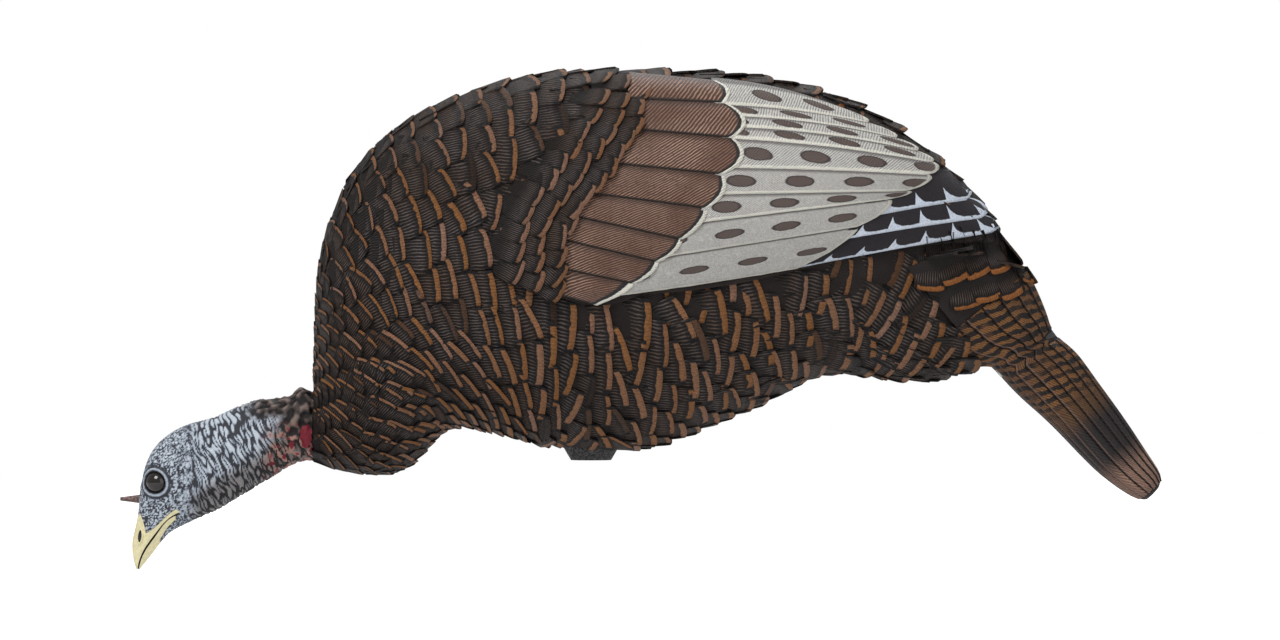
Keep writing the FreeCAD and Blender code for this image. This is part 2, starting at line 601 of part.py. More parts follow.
def make_tail(body_rows):
    """Hollow tail with a skirt over the rump, the tang that holds it and the tang's screws."""
    relief, gap = -size("feather_relief"), size("slide_gap")
    skirt_out = relief + gap + size("tail_wall")
    rows = [body_rows[-1], *station_values("tail", len(TAIL_STATIONS))]
    skirt_outer = solid_feature("skirt_outer", hull(body_rows[12:], skirt_out))
    skirt_inner = solid_feature("skirt_inner", hull(body_rows[12:], relief + gap))
    region = solid_feature("skirt_prism", prism(SKIRT_OUTLINE, -SIDE_REACH, SIDE_REACH))
    chunk = combined("Part::MultiCommon", "skirt_chunk", skirt_outer, region)
    skirt = combined("Part::Cut", "skirt_shell", chunk, skirt_inner)
    fan_outer = solid_feature("fan_outer", hull(rows, skirt_out))
    fan_inner = solid_feature("fan_hollow", hull(rows[:HOLLOW_TAIL_STATIONS], relief + gap))
    fan = combined("Part::Cut", "fan_shell", fan_outer, fan_inner)
    whole = fused("tail_blank", skirt, fan)
    root = solid_feature("tang_root_slab", slab(TANG_BLANK, TANG_BLANK, gap, gap + size("tang_block")))
    block = combined("Part::MultiCommon", "tang_block_solid", fan_inner, root)
    tongue_shape = slab(size("tang_thickness") / 2, size("tang_width") / 2, -size("tang_length"), 2 * gap)
    tongue = solid_feature("tang_tongue", tongue_shape)
    screws = []
    middle, out, up = rump_frame()
    for sign in (-1, 1):
        place = middle + out * (gap + size("tang_block") / 2) + Vector(0, sign * size("screw_spread"), 0)
        start = screw_seat(place, up, fan_outer.Shape)
        shank = Part.makeCylinder(size("screw_radius"), size("screw_length"), start, up)
        head = Part.makeCylinder(size("screw_head_radius"), size("screw_head"), start - up * size("screw_head"), up)
        screws.append(shank.fuse(head))
    screw_pair = solid_feature("screw_pair", Part.makeCompound(screws))
    tang = fused("tang_blank", block, tongue)
    keep(combined("Part::Cut", "tang_solid", tang, screw_pair), "tail_tang")
    keep(combined("Part::Cut", "tail_solid", whole, screw_pair), "tail_fan")
    keep(screw_pair, "tang_screws")
    doc.recompute()


def screw_seat(place, up, fan):
    """Where a screw's line, straight down from a point inside the tail, leaves its underside."""
    line = Part.LineSegment(place, place - up * TANG_BLANK).toShape()
    inside = line.common(fan)
    return place - up * (inside.Length - size("screw_sunk"))


def make_tail_pocket(inner):
    """The rigid pocket behind the rump's end wall that the tang slides into."""
    clear, wall = size("tang_gap"), size("pocket_wall")
    half_t, half_w = size("tang_thickness") / 2 + clear, size("tang_width") / 2 + clear
    depth, plate = size("tang_length") + size("tang_end_gap"), size("skin_wall")
    box = slab(half_t + wall, half_w + wall, -depth - wall, -plate)
    margin = size("pocket_flange_margin")
    flange = slab(half_t + wall + margin, half_w + wall + margin, -plate - size("pocket_flange"), -plate)
    sleeve = slab(half_t + wall / 2, half_w + wall / 2, -plate, 0.0)
    hollow = slab(half_t, half_w, -depth, OVERCUT)
    blank = solid_feature("pocket_blank", box.fuse(flange.common(inner.Shape)).fuse(sleeve))
    hole = solid_feature("pocket_hollow", hollow)
    keep(combined("Part::Cut", "pocket_solid", blank, hole), "tail_pocket")
    return solid_feature("pocket_opening", slab(half_t + wall / 2, half_w + wall / 2, -depth, OVERCUT))


def belly_frame(outer, x, y):
    """The point of the belly's skin at x and y, and the way into the body there."""
    spread = 5.0
    levels = []
    for place in ((x, y), (x + spread, y), (x, y + spread)):
        line = Part.LineSegment(Vector(*place, -SIDE_REACH), Vector(*place, SIDE_REACH)).toShape()
        levels.append(min(corner.Z for corner in line.common(outer.Shape).Vertexes))
    inwards = Vector((levels[0] - levels[1]) / spread, (levels[0] - levels[2]) / spread, 1.0)
    inwards.normalize()
    return Vector(x, y, levels[0]), inwards


def make_valve(outer):
    """The air valve's seat in the belly and the bung that closes it."""
    skin, inwards = belly_frame(outer, size("valve_behind"), size("valve_side"))
    start = skin - inwards * size("valve_proud")
    turn = FreeCAD.Rotation(Vector(0, 0, 1), inwards)
    flange_blank = ring("valve_flange_blank", "valve_flange_radius", "valve_bore", "", "valve_root")
    tube = ring("valve_tube_body", "valve_tube_radius", "valve_bore", "", "valve_length")
    bung = turned("bung_body", [
        ("", ""), ("bung_head_radius", ""), ("bung_head_radius", "bung_head"), ("bung_radius", "bung_head"),
        ("bung_radius", "bung_head + bung_length"), ("", "bung_head + bung_length"),
    ])
    hole = doc.addObject("Part::Cylinder", "valve_hole")
    hole.setExpression("Radius", bound("valve_tube_radius"))
    hole.setExpression("Height", bound("valve_length"))
    for item in (flange_blank, tube, hole):
        item.Placement = FreeCAD.Placement(start, turn)
    bung.Placement = FreeCAD.Placement(start - inwards * amount("bung_head + bung_gap"), turn)
    flange = combined("Part::Cut", "valve_flange_solid", flange_blank, outer)
    keep(fused("valve_seat_solid", flange, tube), "valve_seat")
    keep(bung, "valve_bung")
    return hole


def make_body():
    """The hollow body with its openings, and everything that is fixed to it."""
    rows = station_values("body", len(BODY_STATIONS))
    relief, wall = -size("feather_relief"), size("skin_wall")
    outer = solid_feature("body_outer", hull(rows, relief))
    grown = solid_feature("body_grown", hull(rows, relief + size("wing_thickness")))
    inner_rows = [list(row) for row in rows]
    inner_rows[0][0] += wall
    inner_rows[0][2] += wall
    out = rump_frame()[1]
    for column, part in ((0, out.x), (1, out.z), (2, out.x), (3, out.z)):
        inner_rows[-1][column] -= part * wall
    inner = solid_feature("body_hollow", hull(inner_rows, relief - wall))
    doc.recompute()
    make_stake_housing(outer, inner)
    axis_start = make_neck_joint()
    make_neck_plug(axis_start)
    neck_hole = doc.addObject("Part::Cylinder", "neck_hole")
    neck_hole.setExpression("Radius", bound("socket_radius"))
    neck_hole.setExpression("Height", bound("skin_wall + skin_wall"))
    placed(neck_hole, (axis_start[0] - OVERCUT, 0, axis_start[2]), (0, 1, 0), 90.0)
    belly_hole = doc.addObject("Part::Cylinder", "belly_hole")
    belly_hole.setExpression("Radius", bound("thread_radius"))
    belly_hole.setExpression("Height", bound("seat_top"))
    pocket_opening = make_tail_pocket(inner)
    valve_hole = make_valve(outer)
    openings = fused("body_openings", inner, neck_hole, belly_hole, pocket_opening, valve_hole)
    keep(combined("Part::Cut", "body_solid", outer, openings), "body_shell")
    make_wings(grown, outer)
    make_tail(rows)


def write_parts():
    """Checks every object and writes each sub-part's solid."""
    doc.recompute()
    bad = [o.Name for o in doc.Objects if "Invalid" in o.State or "Error" in o.State]
    if bad:
        raise RuntimeError(f"these objects failed: {bad}")
    os.makedirs("parts", exist_ok=True)
    for item in PARTS:
        shape = item.Shape
        if shape.isNull() or not shape.isValid() or not shape.Solids:
            raise RuntimeError(f"{item.Label} has no valid solid")
        shape.exportStep(f"parts/{item.Label}.step")
        box = shape.BoundBox
        print(f"{item.Label:16s} solids {len(shape.Solids)} volume {shape.Volume:10.0f}"
              f" x {box.XMin:7.1f} {box.XMax:7.1f} y {box.YMin:7.1f} {box.YMax:7.1f}"
              f" z {box.ZMin:7.1f} {box.ZMax:7.1f}")


fill_sheets()
make_pivot()
make_body()
make_head()
write_parts()
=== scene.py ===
"""Finishes the feeding hen decoy: carved feathers, wings, tail, head, painted vinyl and inner fittings."""

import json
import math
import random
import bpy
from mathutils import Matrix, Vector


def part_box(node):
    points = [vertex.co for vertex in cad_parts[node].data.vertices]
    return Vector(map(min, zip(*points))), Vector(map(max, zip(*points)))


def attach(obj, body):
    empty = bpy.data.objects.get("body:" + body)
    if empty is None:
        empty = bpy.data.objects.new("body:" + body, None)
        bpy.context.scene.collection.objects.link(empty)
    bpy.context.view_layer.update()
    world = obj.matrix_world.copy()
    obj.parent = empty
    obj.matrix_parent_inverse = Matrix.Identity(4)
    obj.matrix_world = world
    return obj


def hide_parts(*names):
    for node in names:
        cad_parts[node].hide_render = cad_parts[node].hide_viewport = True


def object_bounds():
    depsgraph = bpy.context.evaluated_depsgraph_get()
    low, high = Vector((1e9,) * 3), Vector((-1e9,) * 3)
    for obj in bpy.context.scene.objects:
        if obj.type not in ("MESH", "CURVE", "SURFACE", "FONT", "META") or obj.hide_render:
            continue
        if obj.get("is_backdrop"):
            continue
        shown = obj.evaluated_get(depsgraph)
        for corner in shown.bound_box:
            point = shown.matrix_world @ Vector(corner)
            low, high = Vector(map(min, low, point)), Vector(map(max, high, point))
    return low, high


bl_info = {
    "name": "Feeding hen decoy",
    "version": (1, 0, 0),
    "blender": (4, 5, 0),
    "location": "3D View > Sidebar > Decoy",
    "description": "Carved feathers, wings, tail, head and painted vinyl of a feeding hen decoy",
    "category": "Object",
}

import bmesh
import bpy
import numpy as np
from bpy.props import FloatProperty, FloatVectorProperty, IntProperty, PointerProperty
from mathutils import Matrix, Vector, noise
from mathutils.bvhtree import BVHTree

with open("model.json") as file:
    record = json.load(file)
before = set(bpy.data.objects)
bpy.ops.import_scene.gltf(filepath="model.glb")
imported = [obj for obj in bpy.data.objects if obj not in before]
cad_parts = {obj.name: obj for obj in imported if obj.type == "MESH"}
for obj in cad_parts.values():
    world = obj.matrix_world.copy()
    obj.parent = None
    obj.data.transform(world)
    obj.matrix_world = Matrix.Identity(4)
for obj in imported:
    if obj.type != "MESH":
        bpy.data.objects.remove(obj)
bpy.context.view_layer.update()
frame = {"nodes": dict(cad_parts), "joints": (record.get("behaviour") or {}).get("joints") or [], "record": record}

MM = 0.001
REACH = 0.45
SIDES = {"left": -1, "right": 1}

# Lines that the feather rows follow, as (point on the back, point on the belly), x and z in millimetres.
ROW_GUIDES = [
    ((-202, 53), (-193, -4)), ((-202, 63), (-182, -9)), ((-201, 79), (-156, -10)), ((-201, 98), (-138, -6)),
    ((-201, 121), (-122, 7)), ((-198, 148), (-110, 17)), ((-190, 178), (-100, 21)), ((-176, 207), (-88, 20)),
    ((-152, 236), (-74, 18)), ((-122, 257), (-58, 14)), ((-84, 273), (-40, 10)), ((-42, 282), (-20, 6)),
    ((2, 286), (2, 5)), ((48, 286), (28, 7)), ((94, 284), (56, 13)), ((138, 279), (84, 23)),
    ((180, 267), (112, 34)), ((216, 249), (138, 47)), ((246, 228), (164, 60)), ((272, 200), (190, 61)),
    ((294, 172), (214, 59)), ((312, 146), (240, 59)), ((326, 120), (262, 62)), ((333, 106), (285, 68)),
]

# Grooves between the bronze coverts, as (front end, rear end), from the back down.
COVERT_GROOVES = [
    ((28, 279), (91, 273)), ((27, 260), (97, 257)), ((25, 238), (102, 232)), ((12, 214), (95, 206)),
    ((-4, 193), (84, 182)), ((-15, 177), (66, 160)), ((-25, 161), (49, 144)), ((-33, 142), (32, 129)),
    ((-30, 123), (5, 114)),
]
COVERT_BULGES = [7, 13, 12, 7, 4, 3, 3, 2]

# Pale edge lines of the secondaries, as (front end, rear end, sag at the middle), from the back down.
SECONDARY_EDGES = [
    ((88, 274), (186, 253), -4), ((90, 256), (208, 242), -3), ((92, 248), (228, 231), -4),
    ((94, 240), (242, 222), -4), ((95, 232), (252, 214), -3), ((92, 211), (250, 206), -1),
    ((84, 192), (234, 195), 0), ((76, 172), (222, 190), 0), ((54, 148), (200, 171), 0),
    ((22, 121), (157, 142), 1),
]
SECONDARY_BLUNT = 9

# Pale edges of the primaries, in the same form.
PRIMARY_EDGES = [
    ((205, 206), (268, 208), -3), ((192, 175), (282, 190), -1), ((178, 160), (293, 177), -1),
    ((150, 141), (301, 167), -1),
]

# Which way the breast feathers point: (x, z) of a place, and degrees up from straight back.
BREAST_FLOW = [
    ((-195, 165), 18), ((-182, 125), 42), ((-192, 85), 48), ((-150, 50), 62), ((-140, 12), 66),
    ((-110, 60), 42), ((-85, 58), 28), ((-98, 112), 8), ((-130, 142), 4), ((-118, 182), 22),
    ((-60, 95), 8), ((-50, 165), -28), ((-85, 30), 30),
]
BREAST_FLOW_FADE = (-75, -35)

# The front edge of the bronze coverts, hidden under the tips of the long scapular feathers.
SCAPULAR_EDGE = [(33, 272), (28, 240), (8, 212), (-14, 184), (-25, 163), (-29, 143), (-28, 121)]

# Rows of scapular feathers, as (metres in front of the edge, metres above the skin, feathers on a side).
SCAPULAR_ROWS = [(0.030, 0.0028, 12), (0.015, 0.0052, 13), (0.0, 0.0034, 14)]

# Limits for the body feathers, in metres.
SHORTEST_FEATHER = 0.013
LONGEST_FEATHER = 0.034
OFF_THE_SKIN = 0.0016
UNDER_THE_WING = 0.001
CLEAR_OF_THE_BOSS = 0.002
BREAST_TO_FLANK = (-190, -60)

# Studio lamps, as (name, place from the decoy's middle, size, power in watts).
LAMPS = [
    ("key", (-1.3, -2.2, 3.0), 1.8, 135), ("fill", (2.6, -2.6, 1.1), 3.0, 42),
    ("rim", (0.4, 2.6, 3.0), 2.6, 70),
]

# How far back from its place a feather's root lies, as a share of its length.
ROOT_SHARE = 0.62

# Lines on which the rump coverts' tips lie, as (front end, rear end, feathers, strength of the stroke).
RUMP_ROWS = [
    ((226, 150), (300, 172), 4, 0.15), ((231, 137), (309, 157), 4, 1.0), ((246, 121), (320, 140), 4, 1.0),
    ((272, 106), (328, 124), 3, 1.0),
]

# Shares of the tail's half section, from the back down, where the long feathers meet.
TAIL_SHARES = [0.0, 0.10, 0.21, 0.32, 0.43, 0.54, 0.64, 0.73, 0.83]
TAIL_REACH = 148
TAIL_START = 34

# Patterns on the wings and the tail, in millimetres.
OVAL_GAP = 41.0
OVAL_HALF_LENGTH = 11.2
WAVE_GAP = 24.0
WAVE_HEIGHT = 8.0
TAIL_BAR_GAP = 7.5

WING_RISE = 3.4
NOSTRIL = (-330.8, 0, -55.7)
MOUTH_LINE = [(-303, -39), (-309, -43), (-320, -55), (-329, -69), (-333, -82)]


class DecoyFeathers(bpy.types.PropertyGroup):
    """Sizes of the carved feathers."""

    row_gap: FloatProperty(name="Row gap", description="Gap between feather rows on the flank",
                           default=0.0150, unit="LENGTH")
    breast_gap: FloatProperty(name="Breast row gap", description="Gap between feather rows at the neck",
                              default=0.0085, unit="LENGTH")
    breadth: FloatProperty(name="Breadth", description="Breadth of a feather as a share of its row gap",
                           default=2.1, subtype="FACTOR")
    cover: FloatProperty(name="Cover", description="Length of a feather as a share of its row gap",
                         default=1.9, subtype="FACTOR")
    lift: FloatProperty(name="Tip lift", description="Height of a feather's tip above the plain skin",
                        default=0.0021, unit="LENGTH")
    seed: IntProperty(name="Seed", description="Seed of the carving's small differences", default=7)


class DecoyPaint(bpy.types.PropertyGroup):
    """Colours of the paints."""

    vinyl: FloatVectorProperty(name="Dark vinyl", description="Ground coat of the body feathers",
                               subtype="COLOR", default=(0.0105, 0.0078, 0.0072))
    orange: FloatVectorProperty(name="Orange edge", description="Paint stroke on a feather's tip",
                                subtype="COLOR", default=(0.235, 0.098, 0.030))
    tan: FloatVectorProperty(name="Tan edge", description="Paler paint stroke on a feather's tip",
                             subtype="COLOR", default=(0.27, 0.150, 0.105))
    bronze: FloatVectorProperty(name="Bronze", description="Wing coverts",
                                subtype="COLOR", default=(0.050, 0.022, 0.013))
    pale: FloatVectorProperty(name="Off-white", description="Edges of the secondaries",
                              subtype="COLOR", default=(0.58, 0.565, 0.50))
    slate: FloatVectorProperty(name="Slate", description="Bare skin of the head",
                               subtype="COLOR", default=(0.27, 0.31, 0.37))
    horn: FloatVectorProperty(name="Horn", description="Beak", subtype="COLOR", default=(0.66, 0.60, 0.36))
    red: FloatVectorProperty(name="Red", description="Spots at the root of the neck",
                             subtype="COLOR", default=(0.15, 0.012, 0.022))


class DecoyStudio(bpy.types.PropertyGroup):
    """Camera, floor and lights."""

    picture_width: FloatProperty(name="Picture width", description="Width that the picture covers",
                                 default=0.9408, unit="LENGTH")
    focal_length: FloatProperty(name="Focal length", description="Lens in millimetres", default=180.0)
    floor_gap: FloatProperty(name="Floor gap", description="Floor below the beak's tip",
                             default=0.03, unit="LENGTH")


# ---------------------------------------------------------------- node trees

class Wiring:
    """Adds nodes to one tree. A value that is a socket is linked, and any other is typed in."""

    def __init__(self, tree):
        self.tree = tree

    def node(self, kind, values=None, **settings):
        made = self.tree.nodes.new(kind)
        for name, value in settings.items():
            setattr(made, name, value)
        for key, value in (values or {}).items():
            if isinstance(value, bpy.types.NodeSocket):
                self.tree.links.new(value, made.inputs[key])
            else:
                made.inputs[key].default_value = value
        return made

    def math(self, operation, *values):
        return self.node("ShaderNodeMath", dict(enumerate(values)), operation=operation).outputs[0]

    def mix(self, share, low, high):
        values = {0: share, 6: shade(low), 7: shade(high)}
        return self.node("ShaderNodeMix", values, data_type="RGBA").outputs[2]

    def step(self, value, low, high, start=0.0, end=1.0):
        values = {0: value, 1: low, 2: high, 3: start, 4: end}
        return self.node("ShaderNodeMapRange", values, interpolation_type="SMOOTHSTEP").outputs[0]

    def attribute(self, name):
        return self.node("ShaderNodeAttribute", attribute_name=name).outputs["Fac"]

    def noise(self, vector, scale, detail=2.0, rough=0.5):
        values = {"Vector": vector, "Scale": scale, "Detail": detail, "Roughness": rough}
        return self.node("ShaderNodeTexNoise", values).outputs[0]

    def place(self):
        return self.node("ShaderNodeTexCoord").outputs["Object"]

    def group(self, tree, values):
        return self.node("ShaderNodeGroup", values, node_tree=tree).outputs


def shade(colour):
    """A colour as four numbers, or a socket as it is."""
    if isinstance(colour, bpy.types.NodeSocket):
        return colour
    return (*tuple(colour)[:3], 1.0)


def group_tree(name, inputs, outputs):
    """A shader node group with named sockets. Returns it, its wiring, its inputs and its output node."""
    tree = bpy.data.node_groups.new(name, "ShaderNodeTree")
    for label, kind, value in inputs:
        socket = tree.interface.new_socket(name=label, in_out="INPUT", socket_type=kind)
        if value is not None:
            socket.default_value = value
    for label, kind in outputs:
        tree.interface.new_socket(name=label, in_out="OUTPUT", socket_type=kind)
    wires = Wiring(tree)
    return tree, wires, wires.node("NodeGroupInput").outputs, wires.node("NodeGroupOutput")


NUMBER, DIRECTION = "NodeSocketFloat", "NodeSocketVector"


def barb_group():
    """Fine carved barbs: lines that run along the feather, or at a slant to it, broken up by noise."""
    known = bpy.data.node_groups.get("Carved barbs")
    if known:
        return known
    inputs = [("Along", NUMBER, 0.0), ("Across", NUMBER, 0.0), ("Pitch", NUMBER, 1.0), ("Slant", NUMBER, 0.0),
              ("Place", DIRECTION, None)]
    tree, wires, given, end = group_tree("Carved barbs", inputs, [("Lines", NUMBER)])
    slanted = wires.math("MULTIPLY_ADD", given["Along"], given["Slant"], given["Across"])
    wobble = wires.noise(given["Place"], 130.0, 2.0)
    bent = wires.math("MULTIPLY_ADD", wobble, 2.2, slanted)
    turns = wires.math("DIVIDE", bent, given["Pitch"])
    wave = wires.math("SINE", wires.math("MULTIPLY", turns, math.tau))
    lines = wires.step(wave, -0.25, 0.95)
    broken = wires.step(wires.noise(given["Place"], 420.0, 2.0), 0.25, 0.50, 0.35, 1.0)
    wires.tree.links.new(wires.math("MULTIPLY", lines, broken), end.inputs["Lines"])
    return tree


def mottle_group():
    """Hand-brushed paint: broad cloudy changes and fine grain, from 0 to 1."""
    known = bpy.data.node_groups.get("Brushed mottle")
    if known:
        return known
    tree, wires, given, end = group_tree("Brushed mottle", [("Place", DIRECTION, None)],
                                         [("Clouds", NUMBER), ("Grain", NUMBER)])
    clouds = wires.step(wires.noise(given["Place"], 26.0, 3.0), 0.34, 0.68)
    grain = wires.step(wires.noise(given["Place"], 900.0, 3.0, 0.7), 0.32, 0.68)
    wires.tree.links.new(clouds, end.inputs["Clouds"])
    wires.tree.links.new(grain, end.inputs["Grain"])
    return tree


def finish(name, paint, metallic=0.0, rough=0.6, specular=0.35, depth=0.0004, **constants):
    """A material. paint(wires) returns a colour, a height or None, and a roughness or None, as sockets."""
    material = bpy.data.materials.new(name)
    material.use_nodes = True
    material.node_tree.nodes.clear()
    wires = Wiring(material.node_tree)
    colour, height, roughness = paint(wires)
    values = {"Base Color": shade(colour), "Metallic": metallic, "Specular IOR Level": specular,
              "Roughness": rough if roughness is None else roughness, **constants}
    if height is not None:
        bump = wires.node("ShaderNodeBump", {"Height": height, "Distance": depth, "Strength": 1.0})
        values["Normal"] = bump.outputs[0]
    shader = wires.node("ShaderNodeBsdfPrincipled", values)
    end = wires.node("ShaderNodeOutputMaterial")
    wires.tree.links.new(shader.outputs[0], end.inputs["Surface"])
    return material


# ---------------------------------------------------------------- paints

def feather_finish(name, orange, tan, ground):
    """Carved body feather: dark barbed ground, painted shade towards the root, a painted black shadow line and a
    painted stroke on the tip.
    """
    def paint(wires):
        flat = wires.node("ShaderNodeUVMap", uv_map="UVMap").outputs[0]
        split = wires.node("ShaderNodeSeparateXYZ", {0: flat}).outputs
        place = wires.place()
        mottle = wires.group(mottle_group(), {"Place": place})
        along = wires.math("MULTIPLY", split[0], 30.0)
        across = wires.math("MULTIPLY", split[1], 26.0)
        lines = wires.group(barb_group(), {"Along": along, "Across": across, "Pitch": 1.9, "Slant": 0.10,
                                           "Place": place})["Lines"]
        crest = wires.mix(mottle["Clouds"], (0.120, 0.100, 0.095), (0.105, 0.064, 0.043))
        worn = wires.mix(wires.math("MULTIPLY", lines, 0.80), ground, crest)
        # Painted shade: the feather darkens towards its root, where the feather before it lies over it.
        root = wires.step(split[0], 0.30, 0.70, 0.25, 1.0)
        shaded = wires.mix(root, (0.004, 0.0035, 0.0035), worn)
        band = wires.attribute("band")
        drift = wires.math("SUBTRACT", wires.noise(place, 190.0), 0.5)
        wander = wires.math("MULTIPLY_ADD", drift, 0.13, split[0])
        ragged = wires.math("SUBTRACT", wander, band)
        line = wires.step(ragged, -0.015, 0.02)
        shadow = wires.step(ragged, -0.20, -0.01)
        shadowed = wires.mix(wires.math("MULTIPLY", shadow, 0.88), shaded, (0.0045, 0.004, 0.0045))
        middle = wires.math("ABSOLUTE", wires.math("SUBTRACT", split[1], 0.5))
        breadth = wires.math("MULTIPLY_ADD", wires.noise(place, 90.0), 0.18, middle)
        reach = wires.step(breadth, 0.54, 0.49)
        wash = wires.math("MULTIPLY", wires.math("MULTIPLY", line, reach), wires.attribute("stroke"))
        streak = wires.mix(wires.attribute("tone"), orange, tan)
        rubbed = wires.mix(wires.math("MULTIPLY", mottle["Grain"], 0.5), streak, (0.075, 0.036, 0.020))
        colour = wires.mix(wash, shadowed, rubbed)
        height = wires.math("MULTIPLY_ADD", mottle["Grain"], 0.35, lines)
        return colour, height, None
    return finish(name, paint, rough=0.62, depth=0.0009, specular=0.16)


def skin_finish(name, ground, crest):
    """Barbed ground between the feathers, on the plain skins."""
    def paint(wires):
        place = wires.place()
        mottle = wires.group(mottle_group(), {"Place": place})
        split = wires.node("ShaderNodeSeparateXYZ", {0: place}).outputs
        along = wires.math("MULTIPLY", split[0], 1000.0)
        across = wires.math("MULTIPLY", split[2], 1000.0)
        lines = wires.group(barb_group(), {"Along": along, "Across": across, "Pitch": 1.2, "Slant": 0.3,
                                           "Place": place})["Lines"]
        worn = wires.mix(wires.math("MULTIPLY", lines, 0.4), ground, crest)
        return wires.mix(mottle["Clouds"], worn, ground), lines, None
    return finish(name, paint, rough=0.66, depth=0.0006, specular=0.15)


def covert_finish(paint_set):
    """Bronze covert: slanted barbs, painted shade along the upper edge under the covert above, a dark line along
    the lower edge, and a black then off-white rear rim.
    """
    def paint(wires):
        place = wires.place()
        mottle = wires.group(mottle_group(), {"Place": place})
        along, across = wires.attribute("along"), wires.attribute("across")
        lines = wires.group(barb_group(), {"Along": along, "Across": across, "Pitch": 2.9, "Slant": 0.95,
                                           "Place": place})["Lines"]
        worn = wires.step(wires.noise(place, 30.0, 2.0), 0.30, 0.75)
        crest = wires.mix(worn, (0.22, 0.115, 0.078), (0.40, 0.25, 0.185))
        share = wires.math("MULTIPLY", lines, wires.math("MULTIPLY_ADD", worn, 0.15, 0.8))
        barbed = wires.mix(share, paint_set.bronze, crest)
        # Painted shade: the covert darkens along its upper edge, where the raised lower edge of the covert above
        # lies over it.
        shade_under_upper_covert = wires.step(wires.attribute("upper_gap"), 0.5, 6.0, 0.35, 1.0)
        shaded = wires.mix(shade_under_upper_covert, (0.020, 0.009, 0.006), barbed)
        groove = wires.step(wires.attribute("side_gap"), 0.5, 2.2)
        grooved = wires.mix(groove, (0.010, 0.006, 0.004), shaded)
        ragged = wires.math("MULTIPLY_ADD", wires.noise(place, 260.0), 1.6, wires.attribute("tip_gap"))
        black = wires.step(ragged, 6.6, 5.2)
        white = wires.step(ragged, 3.7, 3.1)
        rimmed = wires.mix(black, grooved, (0.010, 0.009, 0.010))
        colour = wires.mix(white, rimmed, paint_set.pale)
        return colour, lines, None
    return finish("bronze_coverts", paint, rough=0.5, depth=0.0009, specular=0.3)


def secondary_finish(paint_set):
    """Pale secondary: grey barbs, dark ovals in a row, an off-white edge and painted shade along the upper side,
    under the feather above.
    """
    def paint(wires):
        place = wires.place()
        mottle = wires.group(mottle_group(), {"Place": place})
        along, across = wires.attribute("along"), wires.attribute("across")
        lines = wires.group(barb_group(), {"Along": along, "Across": across, "Pitch": 2.0, "Slant": 0.9,
                                           "Place": place})["Lines"]
        dirt = wires.math("MULTIPLY_ADD", mottle["Grain"], 0.30, wires.math("MULTIPLY", lines, 0.5))
        barbed = wires.mix(dirt, (0.46, 0.45, 0.42), (0.11, 0.105, 0.11))
        turn = wires.math("ADD", wires.math("DIVIDE", along, OVAL_GAP), wires.attribute("shift"))
        cell = wires.math("MULTIPLY", wires.math("SUBTRACT", wires.math("FRACT", turn), 0.5),
                          OVAL_GAP / OVAL_HALF_LENGTH)
        rise = wires.math("DIVIDE", wires.math("SUBTRACT", across, wires.attribute("spot_at")),
                          wires.attribute("spot_size"))
        tilted = wires.math("MULTIPLY_ADD", cell, -0.28, rise)
        squares = wires.math("ADD", wires.math("POWER", cell, 2.0), wires.math("POWER", tilted, 2.0))
        wavy = wires.math("MULTIPLY_ADD", wires.noise(place, 190.0), 0.5, squares)
        oval = wires.step(wavy, 1.36, 1.10)
        core = wires.step(wavy, 1.05, 0.75)
        spot = wires.mix(core, (0.022, 0.017, 0.017), (0.075, 0.053, 0.046))
        lined = wires.mix(wires.math("MULTIPLY", lines, 0.4), spot, (0.13, 0.105, 0.095))
        spotted = wires.mix(oval, barbed, lined)
        # Painted shade: the feather darkens along its upper side, under the raised lower edge of the feather above.
        joint = wires.step(wires.attribute("upper_gap"), 0.8, 3.6)
        edge_darkened = wires.mix(wires.math("MULTIPLY_ADD", joint, 0.7, 0.3), (0.05, 0.045, 0.046), spotted)
        ragged = wires.math("MULTIPLY_ADD", wires.noise(place, 200.0), 1.5, wires.attribute("side_gap"))
        rim = wires.step(ragged, 3.2, 1.9)
        rough_tip = wires.math("MULTIPLY_ADD", wires.noise(place, 150.0), 2.0, wires.attribute("tip_gap"))
        tip = wires.step(rough_tip, 4.6, 3.0)
        edged = wires.math("MAXIMUM", rim, tip)
        worn = wires.mix(wires.math("MULTIPLY", mottle["Grain"], 0.22), paint_set.pale, (0.40, 0.39, 0.36))
        return wires.mix(edged, edge_darkened, worn), lines, None
    return finish("pale_secondaries", paint, rough=0.6, depth=0.0006, specular=0.25)


def primary_finish(paint_set):
    """Black primary with a blue-white edge that rises in pointed waves."""
    def paint(wires):
        place = wires.place()
        mottle = wires.group(mottle_group(), {"Place": place})
        along, across = wires.attribute("along"), wires.attribute("across")
        lines = wires.group(barb_group(), {"Along": along, "Across": across, "Pitch": 1.2, "Slant": 0.7,
                                           "Place": place})["Lines"]
        dark = wires.mix(wires.math("MULTIPLY", lines, 0.35), (0.012, 0.010, 0.013), (0.05, 0.045, 0.05))
        turn = wires.math("ADD", wires.math("DIVIDE", along, WAVE_GAP), wires.attribute("shift"))
        wave = wires.math("POWER", wires.math("SUBTRACT", 1.0, wires.math("FRACT", turn)), 5.0)
        edge = wires.math("MULTIPLY_ADD", wave, WAVE_HEIGHT, 2.2)
        ragged = wires.math("MULTIPLY_ADD", wires.noise(place, 240.0), 1.6, wires.attribute("side_gap"))
        rim = wires.step(wires.math("SUBTRACT", ragged, edge), 1.1, 0.4)
        tip = wires.step(wires.attribute("tip_gap"), 3.2, 2.2)
        edged = wires.math("MAXIMUM", rim, tip)
        frost = wires.mix(mottle["Grain"], (0.36, 0.42, 0.52), (0.60, 0.64, 0.70))
        return wires.mix(edged, dark, frost), lines, None
    return finish("dark_primaries", paint, rough=0.6, depth=0.0005, specular=0.2)


